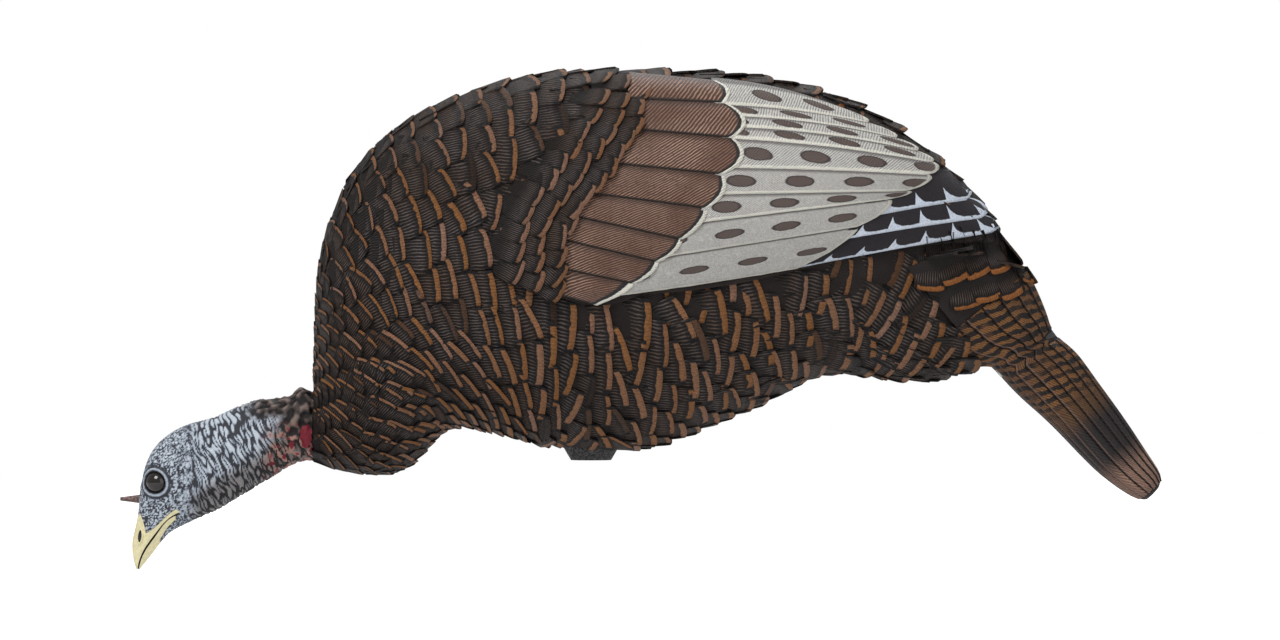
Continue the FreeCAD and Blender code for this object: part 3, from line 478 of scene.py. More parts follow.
def tail_paint(wires, along, across, place, lines, mottle):
    """Colour along the tail: wavy bars, then a dark band, then a tan tip."""
    wander = wires.math("MULTIPLY_ADD", wires.noise(place, 95.0, 3.0), 9.0, along)
    leaning = wires.math("MULTIPLY_ADD", across, 0.30, wander)
    bars = wires.math("SINE", wires.math("MULTIPLY", leaning, math.tau / TAIL_BAR_GAP))
    barred = wires.step(bars, -0.25, 0.15)
    ochre = wires.mix(mottle["Clouds"], (0.165, 0.072, 0.022), (0.105, 0.048, 0.020))
    worn = wires.math("MULTIPLY", barred, wires.step(wires.noise(place, 60.0), 0.26, 0.46, 0.45, 1.0))
    root = wires.mix(worn, ochre, (0.011, 0.008, 0.007))
    brown = wires.mix(wires.step(along, 48.0, 70.0), root, (0.085, 0.042, 0.018))
    band = wires.mix(wires.step(wander, 72.0, 92.0), brown, (0.018, 0.015, 0.016))
    tan = wires.mix(wires.step(wander, 112.0, 136.0), band, (0.23, 0.135, 0.10))
    return wires.mix(wires.math("MULTIPLY", lines, 0.45), tan, (0.010, 0.007, 0.006))


def tail_finish():
    """Long tail feathers: barbs, a dark joint at each edge, a painted highlight line along the lower edge and a
    raised shaft.
    """
    def paint(wires):
        place = wires.place()
        mottle = wires.group(mottle_group(), {"Place": place})
        along, across = wires.attribute("along"), wires.attribute("across")
        lines = wires.group(barb_group(), {"Along": along, "Across": across, "Pitch": 1.9, "Slant": 0.5,
                                           "Place": place})["Lines"]
        colour = tail_paint(wires, along, across, place, lines, mottle)
        # Painted highlight: a pale pinkish line along each feather's lower edge, at full strength on the lower
        # feathers and a quarter on the upper ones.
        edge = wires.step(wires.attribute("side_gap"), 2.3, 1.5)
        lit = wires.math("MULTIPLY", edge, wires.attribute("shift"))
        lined = wires.mix(wires.math("MULTIPLY", lit, 0.45), colour, (0.17, 0.10, 0.08))
        joint = wires.step(wires.attribute("side_gap"), 0.3, 1.1)
        edge_darkened = wires.mix(joint, (0.006, 0.005, 0.005), lined)
        shaft = wires.step(wires.attribute("shaft_gap"), 0.65, 0.3)
        shafted = wires.mix(wires.math("MULTIPLY", shaft, 0.35), edge_darkened, (0.12, 0.085, 0.07))
        height = wires.math("MULTIPLY_ADD", shaft, 1.5, lines)
        return shafted, height, None
    return finish("tail_feathers", paint, rough=0.6, depth=0.0006, specular=0.2)


def head_finish(paint_set):
    """Wrinkled head: slate bare skin, brown nape and throat, painted shade in the creases and painted highlights on
    the crests, red and flesh spots, painted shade in the eye sockets and a dark band along the mouth.
    """
    def paint(wires):
        place = wires.place()
        crest, bare = wires.attribute("crest"), wires.attribute("bare")
        fine = wires.noise(place, 750.0, 4.0, 0.7)
        raised = wires.math("MULTIPLY_ADD", wires.math("SUBTRACT", fine, 0.5), 0.9, crest)
        # Painted shade and painted highlight: the skin is near-black where the folds sink and paler on the crests,
        # on the slate and on the brown skin alike.
        lit = wires.step(raised, 0.28, 0.80)
        slate = wires.mix(lit, (0.030, 0.032, 0.040), paint_set.slate)
        high = wires.math("MULTIPLY", wires.step(raised, 0.70, 1.1), 0.7)
        paler = wires.mix(high, slate, (0.52, 0.56, 0.60))
        brown = wires.mix(lit, (0.008, 0.006, 0.006), (0.060, 0.045, 0.041))
        tan = wires.mix(wires.math("MULTIPLY", wires.step(raised, 0.8, 1.1), 0.6), brown, (0.20, 0.15, 0.13))
        base = wires.mix(bare, tan, paler)
        flesh = wires.mix(wires.math("MULTIPLY", wires.attribute("flesh"), lit), base, (0.30, 0.165, 0.135))
        reddened = wires.mix(wires.attribute("red"), flesh, paint_set.red)
        # Painted shade: near-black in the eye sockets; the same mask also darkens a band along the mouth line.
        colour = wires.mix(wires.attribute("socket"), reddened, (0.008, 0.007, 0.008))
        return colour, fine, None
    return finish("bare_head_skin", paint, rough=0.6, depth=0.0005, specular=0.2)


def plain_finish(name, low, high, scale, rough=0.5, metallic=0.0, depth=0.0001, specular=0.5):
    """Moulded or metal finish with grain in its colour, its roughness and its surface."""
    def paint(wires):
        place = wires.place()
        grain = wires.noise(place, scale, 3.0, 0.6)
        share = wires.step(grain, 0.3, 0.7)
        worn = wires.step(grain, 0.25, 0.75, rough + 0.09, rough - 0.07)
        return wires.mix(share, low, high), grain, worn
    return finish(name, paint, metallic=metallic, depth=depth, specular=specular)


# ---------------------------------------------------------------- surfaces

def skin_tree(*nodes):
    """A ray target made of the named CAD nodes."""
    points, faces = [], []
    for name in nodes:
        mesh = frame["nodes"][name].data
        offset = len(points)
        points.extend(vertex.co.copy() for vertex in mesh.vertices)
        faces.extend([offset + index for index in face.vertices] for face in mesh.polygons)
    return BVHTree.FromPolygons(points, faces)


def side_cast(tree, spot, side):
    """Place and normal where a line across the decoy first meets a skin, or the nearest place on it."""
    place, normal, _, _ = tree.ray_cast(Vector((spot.x, side * REACH, spot.z)), Vector((0, -side, 0)))
    if place is None:
        place, normal, _, _ = tree.find_nearest(Vector((spot.x, side * 0.02, spot.z)))
    return place, normal


class Ring:
    """A skin's section through two points of the middle plane, measured from the back down one side."""

    def __init__(self, tree, back, belly, steps=64):
        centre, up = (back + belly) / 2, (back - belly).normalized()
        self.points, self.normals = [], []
        radius = 0.0
        for index in range(steps + 1):
            angle = min(max(math.pi * index / steps, 0.0004), math.pi - 0.0004)
            outwards = up * math.cos(angle) + Vector((0, -math.sin(angle), 0))
            place, normal, _, _ = tree.ray_cast(centre + outwards * REACH, -outwards)
            found = (place - centre).dot(outwards) if place else 0.0
            if found > radius * 0.75:
                radius = found
            else:
                place, normal = centre + outwards * radius, outwards
            self.points.append(place)
            self.normals.append(normal)
        if not radius:
            raise RuntimeError("a feather row misses the skin")
        steps_long = [(b - a).length for a, b in zip(self.points, self.points[1:])]
        self.run = np.concatenate(([0.0], np.cumsum(steps_long)))
        self.length = float(self.run[-1])

    def at(self, share):
        """Place and normal at a share of the way from the back to the belly."""
        distance = min(max(share, 0.0), 1.0) * self.length
        index = int(min(np.searchsorted(self.run, distance, side="right") - 1, len(self.points) - 2))
        blend = (distance - self.run[index]) / max(self.run[index + 1] - self.run[index], 1e-9)
        place = self.points[index].lerp(self.points[index + 1], blend)
        normal = self.normals[index].lerp(self.normals[index + 1], blend).normalized()
        return place, normal


def guide_at(step):
    """Back and belly points of the feather row at a step along the guides."""
    index = min(int(step), len(ROW_GUIDES) - 2)
    blend = step - index
    ends = []
    for end in (0, 1):
        (x0, z0), (x1, z1) = ROW_GUIDES[index][end], ROW_GUIDES[index + 1][end]
        ends.append(Vector((x0 + (x1 - x0) * blend, 0, z0 + (z1 - z0) * blend)) * MM)
    return ends


def body_rows(tree, sizes):
    """Rings at the right gaps from the neck to the rump: short gaps on the breast and longer ones behind."""
    fine = [Ring(tree, *guide_at(step), steps=24) for step in np.linspace(0, len(ROW_GUIDES) - 1.001, 90)]
    middles = [ring.at(0.5)[0] for ring in fine]
    run = np.concatenate(([0.0], np.cumsum([(b - a).length for a, b in zip(middles, middles[1:])])))
    rows, distance = [], 0.0
    while distance < run[-1]:
        step = float(np.interp(distance, run, np.linspace(0, len(ROW_GUIDES) - 1.001, 90)))
        rows.append(Ring(tree, *guide_at(step)))
        ripe = min(distance / 0.24, 1.0)
        distance += sizes.breast_gap + (sizes.row_gap - sizes.breast_gap) * ripe
    return rows


def feather_spot(place, normal, towards, length, breadth, lift, rng, tone, stroke=1.0, line=4.0, tilt=0.0):
    """One feather to plant: where it sits, how it turns and how it is painted. line is in millimetres."""
    forward = (towards - normal * towards.dot(normal)).normalized()
    turn = Matrix.Rotation(rng.gauss(0, 0.13), 3, normal) @ Matrix.Rotation(-tilt, 3, normal.cross(forward))
    forward, upwards = turn @ forward, Matrix.Rotation(-tilt, 3, normal.cross(forward)) @ normal
    across = upwards.cross(forward)
    basis = Matrix((forward, across, upwards)).transposed()
    return {"place": place - forward * (length * ROOT_SHARE), "turn": basis.to_euler(), "tone": tone,
            "stroke": stroke,
            "band": 1 - line * rng.uniform(0.75, 1.2) * MM / length,
            "size": Vector((length * rng.uniform(0.93, 1.08), breadth * rng.uniform(0.9, 1.12), lift))}


SPOT_VALUES = {"turn": "FLOAT_VECTOR", "size": "FLOAT_VECTOR", "tone": "FLOAT", "stroke": "FLOAT", "band": "FLOAT"}


def feather_blank(name, points_long=6, points_wide=7):
    """One carved feather of unit size: crowned, sunk at its root, with a squarish tip and a rim."""
    mesh = bmesh.new()
    layer = mesh.loops.layers.uv.new("UVMap")
    flat, grid = {}, []
    for i in range(points_long):
        row = []
        for j in range(points_wide):
            u, v = i / (points_long - 1), j / (points_wide - 1)
            bow = 2 * v - 1
            reach = 1 - 0.09 * abs(bow) ** 3.0
            x = u * reach
            y = bow * 0.5 * (0.86 + 0.14 * math.sin(math.pi * min(0.5, u * 0.6)))
            z = -0.55 + 1.6 * u ** 1.25 - 0.30 * bow ** 2 - 0.12 * max(0.0, (u - 0.8) / 0.2)
            vertex = mesh.verts.new((x, y, z))
            flat[vertex] = (u, v)
            row.append(vertex)
        grid.append(row)
    for i in range(points_long - 1):
        for j in range(points_wide - 1):
            mesh.faces.new((grid[i][j], grid[i + 1][j], grid[i + 1][j + 1], grid[i][j + 1]))
    rim = [row[0] for row in grid] + grid[-1][1:-1] + [row[-1] for row in reversed(grid)]
    lower = []
    for vertex in rim:
        low = mesh.verts.new((vertex.co.x * 0.985, vertex.co.y * 0.97, vertex.co.z - 0.75))
        flat[low] = flat[vertex]
        lower.append(low)
    walls = [mesh.faces.new((a, c, d, b)) for (a, b), (c, d) in zip(zip(rim, rim[1:]), zip(lower, lower[1:]))]
    for face in mesh.faces:
        face.smooth = face not in walls
        for loop in face.loops:
            u, v = flat[loop.vert]
            # The rim's walls take UVs no further than 0.4 along, so they get the dark ground near the root, with
            # its painted shade, instead of the tip's stroke.
            loop[layer].uv = (min(u, 0.4), v) if face in walls else (u, v)
    data = bpy.data.meshes.new(name)
    mesh.to_mesh(data)
    mesh.free()
    return bpy.data.objects.new(name, data)


def planting_tree():
    """Geometry nodes that plant one feather on every point, turned and sized by the point's attributes."""
    known = bpy.data.node_groups.get("Plant feathers")
    if known:
        return known
    tree = bpy.data.node_groups.new("Plant feathers", "GeometryNodeTree")
    for label, kind, value in (("Spots", "NodeSocketGeometry", None), ("Feather", "NodeSocketObject", None),
                               ("Length", NUMBER, 1.0), ("Breadth", NUMBER, 1.0), ("Lift", NUMBER, 1.0),
                               ("Finish", "NodeSocketMaterial", None)):
        socket = tree.interface.new_socket(name=label, in_out="INPUT", socket_type=kind)
        if value is not None:
            socket.default_value = value
    tree.interface.new_socket(name="Feathers", in_out="OUTPUT", socket_type="NodeSocketGeometry")
    wires = Wiring(tree)
    given = wires.node("NodeGroupInput").outputs
    turn, size = (wires.node("GeometryNodeInputNamedAttribute", {"Name": label},
                             data_type="FLOAT_VECTOR").outputs[0] for label in ("turn", "size"))
    whole = wires.node("ShaderNodeCombineXYZ", {0: given["Length"], 1: given["Breadth"], 2: given["Lift"]})
    sized = wires.node("ShaderNodeVectorMath", {0: size, 1: whole.outputs[0]}, operation="MULTIPLY")
    scale = sized.outputs[0]
    rotation = wires.node("FunctionNodeEulerToRotation", {0: turn}).outputs[0]
    blank = wires.node("GeometryNodeObjectInfo", {"Object": given["Feather"]}).outputs["Geometry"]
    planted = wires.node("GeometryNodeInstanceOnPoints", {"Points": given["Spots"], "Instance": blank,
                                                         "Rotation": rotation, "Scale": scale})
    real = wires.node("GeometryNodeRealizeInstances", {0: planted.outputs[0]})
    coated = wires.node("GeometryNodeSetMaterial", {"Geometry": real.outputs[0], "Material": given["Finish"]})
    end = wires.node("NodeGroupOutput")
    wires.tree.links.new(coated.outputs[0], end.inputs[0])
    return tree


def plant(name, spots, blank, material, body, slot):
    """Plants a feather on every spot and leaves a plain mesh that rides on its body."""
    data = bpy.data.meshes.new(name + "_spots")
    data.from_pydata([spot["place"] for spot in spots], [], [])
    for label, kind in SPOT_VALUES.items():
        layer = data.attributes.new(label, kind, "POINT")
        for item, spot in zip(layer.data, spots):
            if kind == "FLOAT":
                item.value = spot[label]
            else:
                item.vector = spot[label][:]
    source = bpy.data.objects.new(name + "_spots", data)
    bpy.context.scene.collection.objects.link(source)
    modifier = source.modifiers.new("Plant", "NODES")
    modifier.node_group = planting_tree()
    sockets = {item.name: item.identifier for item in modifier.node_group.interface.items_tree
               if item.in_out == "INPUT"}
    modifier[sockets["Feather"]] = blank
    for label in ("Length", "Breadth", "Lift"):
        modifier[sockets[label]] = 1.0
    modifier[sockets["Finish"]] = material
    graph = bpy.context.evaluated_depsgraph_get()
    baked = bpy.data.meshes.new_from_object(source.evaluated_get(graph))
    source.modifiers.remove(modifier)
    bpy.data.objects.remove(source)
    return settle(name, baked, material, body, slot)


def dress(node, material):
    """Gives a CAD node one material."""
    slots = frame["nodes"][node].data.materials
    slots.clear()
    slots.append(material)


def settle(name, data, material, body, slot, *replaced):
    """Links a finished mesh as a piece that rides on a body, with the given material."""
    piece = bpy.data.objects.new(name, data)
    bpy.context.scene.collection.objects.link(piece)
    data.materials.clear()
    data.materials.append(material)
    if replaced:
        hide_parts(*replaced)
    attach(piece, body)
    return piece


class Patch:
    """Collects grid strips into one mesh with number attributes on its points."""

    def __init__(self, names):
        self.points, self.faces = [], []
        self.values = {name: [] for name in names}

    def strip(self, grid, values, flip):
        """Adds a grid of points and a rim that drops from its edges. values holds a grid per attribute."""
        rows, columns = len(grid), len(grid[0])
        start = len(self.points)
        for i in range(rows):
            for j in range(columns):
                self.points.append(grid[i][j][0])
                for name, table in self.values.items():
                    table.append(values[name][i][j])
        around = [(i, 0) for i in range(rows)] + [(rows - 1, j) for j in range(1, columns)]
        around += [(i, columns - 1) for i in range(rows - 2, -1, -1)]
        around += [(0, j) for j in range(columns - 2, 0, -1)]
        low = len(self.points)
        for i, j in around:
            place, normal, drop = grid[i][j]
            self.points.append(place - normal * drop)
            for name, table in self.values.items():
                table.append(values[name][i][j])
        quads = [(start + i * columns + j, start + (i + 1) * columns + j, start + (i + 1) * columns + j + 1,
                  start + i * columns + j + 1) for i in range(rows - 1) for j in range(columns - 1)]
        count = len(around)
        for index in range(count):
            i, j = around[index]
            k, m = around[(index + 1) % count]
            quads.append((start + i * columns + j, low + index, low + (index + 1) % count,
                          start + k * columns + m))
        self.faces.extend(tuple(reversed(quad)) if flip else quad for quad in quads)

    def mesh(self, name):
        data = bpy.data.meshes.new(name)
        data.from_pydata(self.points, [], self.faces)
        for label, table in self.values.items():
            data.attributes.new(label, "FLOAT", "POINT").data.foreach_set("value", table)
        data.polygons.foreach_set("use_smooth", [True] * len(data.polygons))
        return data


STRIP_VALUES = ("along", "across", "side_gap", "upper_gap", "tip_gap", "shaft_gap", "shift", "spot_at",
                "spot_size")


def quill(patch, tree, upper, lower, side, rise, blunt=0.0, bulge=0.0, tuck=0.0, steps=(26, 11), crown=1.0,
          layer=1.4, shift=0.0, sink=2.2):
    """A long feather between two lines of the side view, laid on the skin. Lines are (front, rear, sag)."""
    def line(ends, share):
        (x0, z0), (x1, z1), sag = ends
        bend = 4 * share * (1 - share) * sag
        return Vector((x0 + (x1 - x0) * share, 0, z0 + (z1 - z0) * share - bend))
    rows, columns = steps
    grid, values = [], {name: [] for name in STRIP_VALUES}
    whole = (line(lower, 1) - line(lower, 0)).length
    for i in range(rows):
        share = i / (rows - 1)
        points, facts = [], {name: [] for name in STRIP_VALUES}
        for j in range(columns):
            v = j / (columns - 1)
            bow = 2 * v - 1
            reach = share * (1 - blunt * abs(bow) ** 2.6 / whole + bulge * (1 - bow * bow) / whole)
            top, bottom = line(upper, reach), line(lower, reach)
            breadth = (bottom - top).length
            lap = tuck / max(breadth, 1.0)
            spot = top.lerp(bottom, v * (1 + lap) - lap) * MM
            place, normal = side_cast(tree, spot, side)
            height = rise + layer * v + crown * (1 - bow * bow)
            points.append((place + normal * height * MM, normal, sink * MM))
            facts["along"].append(reach * whole)
            facts["across"].append(v * breadth)
            facts["side_gap"].append((1 - v) * breadth)
            facts["upper_gap"].append(v * (breadth + tuck) - tuck)
            facts["tip_gap"].append((1 - share) * whole)
            facts["shaft_gap"].append(abs(v - 0.5) * breadth)
            facts["shift"].append(shift)
            facts["spot_at"].append(breadth * 0.56)
            facts["spot_size"].append(min(max(breadth * 0.15 + 1.2, 1.6), 4.6))
        grid.append(points)
        for name in STRIP_VALUES:
            values[name].append(facts[name])
    patch.strip(grid, values, side < 0)


# ---------------------------------------------------------------- operators

def plumage(rows, sizes, rng):
    """Every feather on the rows, both sides: place, normal, way to the next row, breadth and share."""
    for number, (row, after) in enumerate(zip(rows, rows[1:])):
        gap = (after.at(0.5)[0] - row.at(0.5)[0]).length
        count = max(4, round(row.length / (gap * sizes.breadth)))
        for index in range(count + 1):
            share = (index + 0.5 * (number % 2)) / count
            if share > 1.0:
                continue
            place, normal = row.at(min(share + rng.gauss(0, 0.006), 1.0))
            ahead = after.at(share)[0] - row.at(share)[0]
            steps = (-0.9, 0.0) if number == 0 else (0.0,)
            breadth, flip = row.length / count, Vector((1, -1, 1))
            for step in steps:
                yield place + ahead * step, normal, ahead, breadth, share
                if 0.01 < share < 0.99:
                    yield (place + ahead * step) * flip, normal * flip, ahead * flip, breadth, share


def combed(place, normal, ahead):
    """The feather's direction on the breast, where the carved rows fan out away from the neck ring."""
    across, up = place.x / MM, place.z / MM
    share = 1 - smooth(across, *BREAST_FLOW_FADE)
    weights = [1 / (1 + ((across - x) ** 2 + (up - z) ** 2) ** 1.5) for (x, z), _ in BREAST_FLOW]
    angle = math.radians(sum(w * a for w, (_, a) in zip(weights, BREAST_FLOW)) / sum(weights))
    level = Vector((math.cos(angle), 0, math.sin(angle)))
    level -= normal * level.dot(normal)
    share *= smooth(level.length, 0.25, 0.8)
    return (level.normalized() * share + ahead.normalized() * (1 - share)).normalized() * ahead.length


def along_line(points, share):
    """A place on a broken line, by its share of the line's length."""
    lengths = [math.dist(a, b) for a, b in zip(points, points[1:])]
    left = share * sum(lengths)
    for (a, b), length in zip(zip(points, points[1:]), lengths):
        if left <= length:
            blend = left / length
            return Vector((a[0] + (b[0] - a[0]) * blend, 0, a[1] + (b[1] - a[1]) * blend)) * MM
        left -= length
    return Vector((points[-1][0], 0, points[-1][1])) * MM


class DECOY_OT_body_feathers(bpy.types.Operator):
    """Carves the rows of feathers on the neck, breast, back, flanks and belly"""

    bl_idname = "decoy.body_feathers"
    bl_label = "Body feathers"

    def execute(self, context):
        sizes, paints = context.scene.decoy_feathers, context.scene.decoy_paint
        rng = random.Random(sizes.seed)
        spots = {"breast_feathers": [], "back_feathers": [], "flank_feathers": [], "scapulars": []}
        for place, kind, spot in self.rows(sizes, rng):
            spots[kind].append(spot)
        spots["scapulars"].extend(self.scapulars(rng))
        blank = feather_blank("body_feather_blank")
        paint = feather_finish("carved_feathers", paints.orange, paints.tan, paints.vinyl)
        for name, found in spots.items():
            plant(name, found, blank, paint, "body", "body_vinyl")
        bpy.data.objects.remove(blank)
        dress("body_shell", skin_finish("body_skin", paints.vinyl, (0.075, 0.060, 0.054)))
        return {"FINISHED"}

    def rows(self, sizes, rng):
        """The feathers of the rows, clear of the boss and the wings, with small ones along the ridge."""
        rows = body_rows(skin_tree("body_shell", "tail_fan", "stake_housing", "valve_bung"), sizes)
        shell, boss = skin_tree("body_shell"), skin_tree("stake_housing", "valve_seat")
        wings = skin_tree("left_wing", "right_wing")
        for place, normal, ahead, breadth, share in plumage(rows, sizes, rng):
            length = min(max(ahead.length * sizes.cover, SHORTEST_FEATHER), LONGEST_FEATHER)
            tip = place + ahead * 1.1
            if max(shell.find_nearest(place)[3], shell.find_nearest(tip)[3]) > OFF_THE_SKIN:
                continue
            beside = normal.cross(ahead).normalized() * (breadth * 0.42)
            covered = [wings.find_nearest(place + ahead * 0.1 + step)[3] < UNDER_THE_WING
                       for step in (beside, -beside)]
            on_ridge = any(covered) and share < 0.06 and place.x > 0.05
            if boss.find_nearest(tip)[3] < CLEAR_OF_THE_BOSS or all(covered) and not on_ridge:
                continue
            towards = combed(place, normal, ahead)
            tone = min(max(rng.gauss(0.25, 0.30), 0.0), 1.0)
            stroke = 1.0 if rng.random() < 0.84 else rng.uniform(0.0, 0.5)
            grown = smooth(place.x / MM, *BREAST_TO_FLANK)
            line = 2.2 + 1.8 * grown
            lift = sizes.lift * (0.45 + 0.55 * grown)
            laid, facing = shell.find_nearest(place + ahead * 0.8)[:2]
            if facing.dot(normal) < 0.3:
                laid, facing = place + ahead * 0.8, normal
            rise = -0.0015 if any(covered) else 0.0
            if on_ridge:
                rise, breadth, length = 0.0030, breadth * 0.62, 0.017
            kind = "back_feathers" if share < 0.42 else "flank_feathers"
            if place.x < -0.1:
                kind = "breast_feathers"
            yield place, kind, feather_spot(laid + facing * rise, facing, towards, length, breadth * 1.16, lift,
                                            rng, tone, stroke, line)

    def scapulars(self, rng):
        """Three rows of long feathers that lap over the front edge of each wing."""
        both = skin_tree("body_shell", "left_wing", "right_wing")
        fall = Vector((0.92, 0, -0.39))
        for back, rise, count in SCAPULAR_ROWS:
            for index in range(count):
                edge = along_line(SCAPULAR_EDGE, (index + 0.5) / count) - fall * back
                for side in (-1, 1):
                    place, normal = side_cast(both, edge, side)
                    yield feather_spot(place + normal * rise, normal, fall, 0.028, 0.020, 0.0024, rng,
                                       rng.uniform(0.2, 1.0), line=3.4, tilt=0.08)


class DECOY_OT_wings(bpy.types.Operator):
    """Lays the bronze coverts, pale secondaries and dark primaries on both wings"""

    bl_idname = "decoy.wings"
    bl_label = "Wings"

    def execute(self, context):
        paints = context.scene.decoy_paint
        tree = skin_tree("body_shell")
        finishes = {"coverts": covert_finish(paints), "secondaries": secondary_finish(paints),
                    "primaries": primary_finish(paints)}
        panel = skin_finish("wing_panel", paints.vinyl, (0.085, 0.068, 0.060))
        for label, side in SIDES.items():
            rng = random.Random(3)
            patches = {name: Patch(STRIP_VALUES) for name in finishes}
            for upper, lower in zip(PRIMARY_EDGES, PRIMARY_EDGES[1:]):
                quill(patches["primaries"], tree, upper, lower, side, WING_RISE - 0.4, blunt=10, tuck=3,
                      crown=0.7, layer=0.8, shift=rng.random(), steps=(34, 13))
            for upper, lower in reversed(list(zip(SECONDARY_EDGES, SECONDARY_EDGES[1:]))):
                quill(patches["secondaries"], tree, upper, lower, side, WING_RISE + 0.3,
                      blunt=SECONDARY_BLUNT, tuck=2.5, crown=0.9, layer=0.9, shift=rng.random(),
                      steps=(40, 13))
            grooves = zip(COVERT_GROOVES, COVERT_GROOVES[1:], COVERT_BULGES)
            for upper, lower, bulge in grooves:
                quill(patches["coverts"], tree, (*upper, 0), (*lower, 0), side, WING_RISE + 1.0, bulge=bulge,
                      tuck=1.0, crown=1.7, layer=0.6, steps=(30, 15))
            for name, patch in patches.items():
                settle(f"{label}_wing_{name}", patch.mesh(f"{label}_wing_{name}"), finishes[name], "body",
                       "wing_vinyl")
            dress(f"{label}_wing", panel)
        return {"FINISHED"}


class DECOY_OT_tail(bpy.types.Operator):
    """Lays the long tail feathers and the wavy rump coverts on the tail"""

    bl_idname = "decoy.tail"
    bl_label = "Tail"

    def execute(self, context):
        sizes, paints = context.scene.decoy_feathers, context.scene.decoy_paint
        rng = random.Random(sizes.seed + 4)
        tree = skin_tree("tail_fan")
        back, belly = (Vector((x, 0, z)) * MM for x, z in ROW_GUIDES[-1])
        joint = next(j for j in frame["joints"] if j["name"] == "tail_pull")
        out = Vector(joint["axis"]).normalized()
        rings = []
        for distance in np.linspace(-TAIL_START, TAIL_REACH, 42):
            shift = out * distance * MM
            rings.append((distance, Ring(tree, back + shift, belly + shift, steps=90)))
        patch = Patch(STRIP_VALUES)
        for side in (-1, 1):
            for number, (upper, lower) in enumerate(zip(TAIL_SHARES, TAIL_SHARES[1:])):
                self.lay(patch, rings, upper, lower, side, number)
        settle("tail_quills", patch.mesh("tail_quills"), tail_finish(), "tail", "tail_vinyl")
        blank = feather_blank("rump_feather_blank", 7, 8)
        spots, fall = [], Vector((0.30, 0, -0.954))
        for (x0, z0), (x1, z1), count, stroke in RUMP_ROWS:
            breadth = math.hypot(x1 - x0, z1 - z0) / count * MM
            for index in range(count * 2 + 1):
                share = (index + 0.5) / (count * 2 + 1)
                for side in (-1, 1):
                    tip = Vector((x0 + (x1 - x0) * share, 0, z0 + (z1 - z0) * share)) * MM
                    place, normal = side_cast(tree, tip - fall * 0.012, side)
                    if index % 2:
                        continue
                    ridge = abs(place.y) < 0.018
                    length, lift = (0.015, 0.0016) if ridge else (0.025, 0.0026)
                    spots.append(feather_spot(place, normal, fall, length, breadth * 1.25, lift, rng,
                                              rng.uniform(0.0, 0.2), stroke, 3.6))
        wavy = feather_finish("rump_coverts", (0.33, 0.118, 0.028), paints.orange, paints.vinyl)
        plant("rump_coverts", spots, blank, wavy, "tail", "tail_vinyl")
        bpy.data.objects.remove(blank)
        dress("tail_fan", skin_finish("tail_underside", (0.014, 0.011, 0.011), (0.060, 0.045, 0.040)))
        return {"FINISHED"}

    def lay(self, patch, rings, upper, lower, side, number):
        """One long tail feather between two shares of the tail's section."""
        columns = 8
        grid, values = [], {name: [] for name in STRIP_VALUES}
        for distance, ring in rings:
            points, facts = [], {name: [] for name in STRIP_VALUES}
            for j in range(columns):
                v = j / (columns - 1)
                place, normal = ring.at(upper + (lower - upper) * v)
                if side > 0:
                    flip = Vector((1, -1, 1))
                    place, normal = place * flip, normal * flip
                breadth = (lower - upper) * ring.length / MM
                bow = 2 * v - 1
                height = 0.3 + 0.9 * v + 0.5 * (1 - bow * bow)
                points.append((place + normal * height * MM, normal, 1.4 * MM))
                facts["along"].append(distance)
                facts["across"].append(v * breadth + number * 9)
                facts["side_gap"].append((1 - v) * breadth)
                facts["upper_gap"].append(v * breadth)
                facts["tip_gap"].append(rings[-1][0] - distance)
                facts["shaft_gap"].append(abs(v - 0.5) * breadth)
                # On the tail, the shift value sets the strength of the painted highlight line along the lower edge.
                facts["shift"].append(1.0 if number > 3 else 0.25)
                facts["spot_at"].append(0.0)
                facts["spot_size"].append(1.0)
            grid.append(points)
            for name in STRIP_VALUES:
                values[name].append(facts[name])
        patch.strip(grid, values, side < 0)


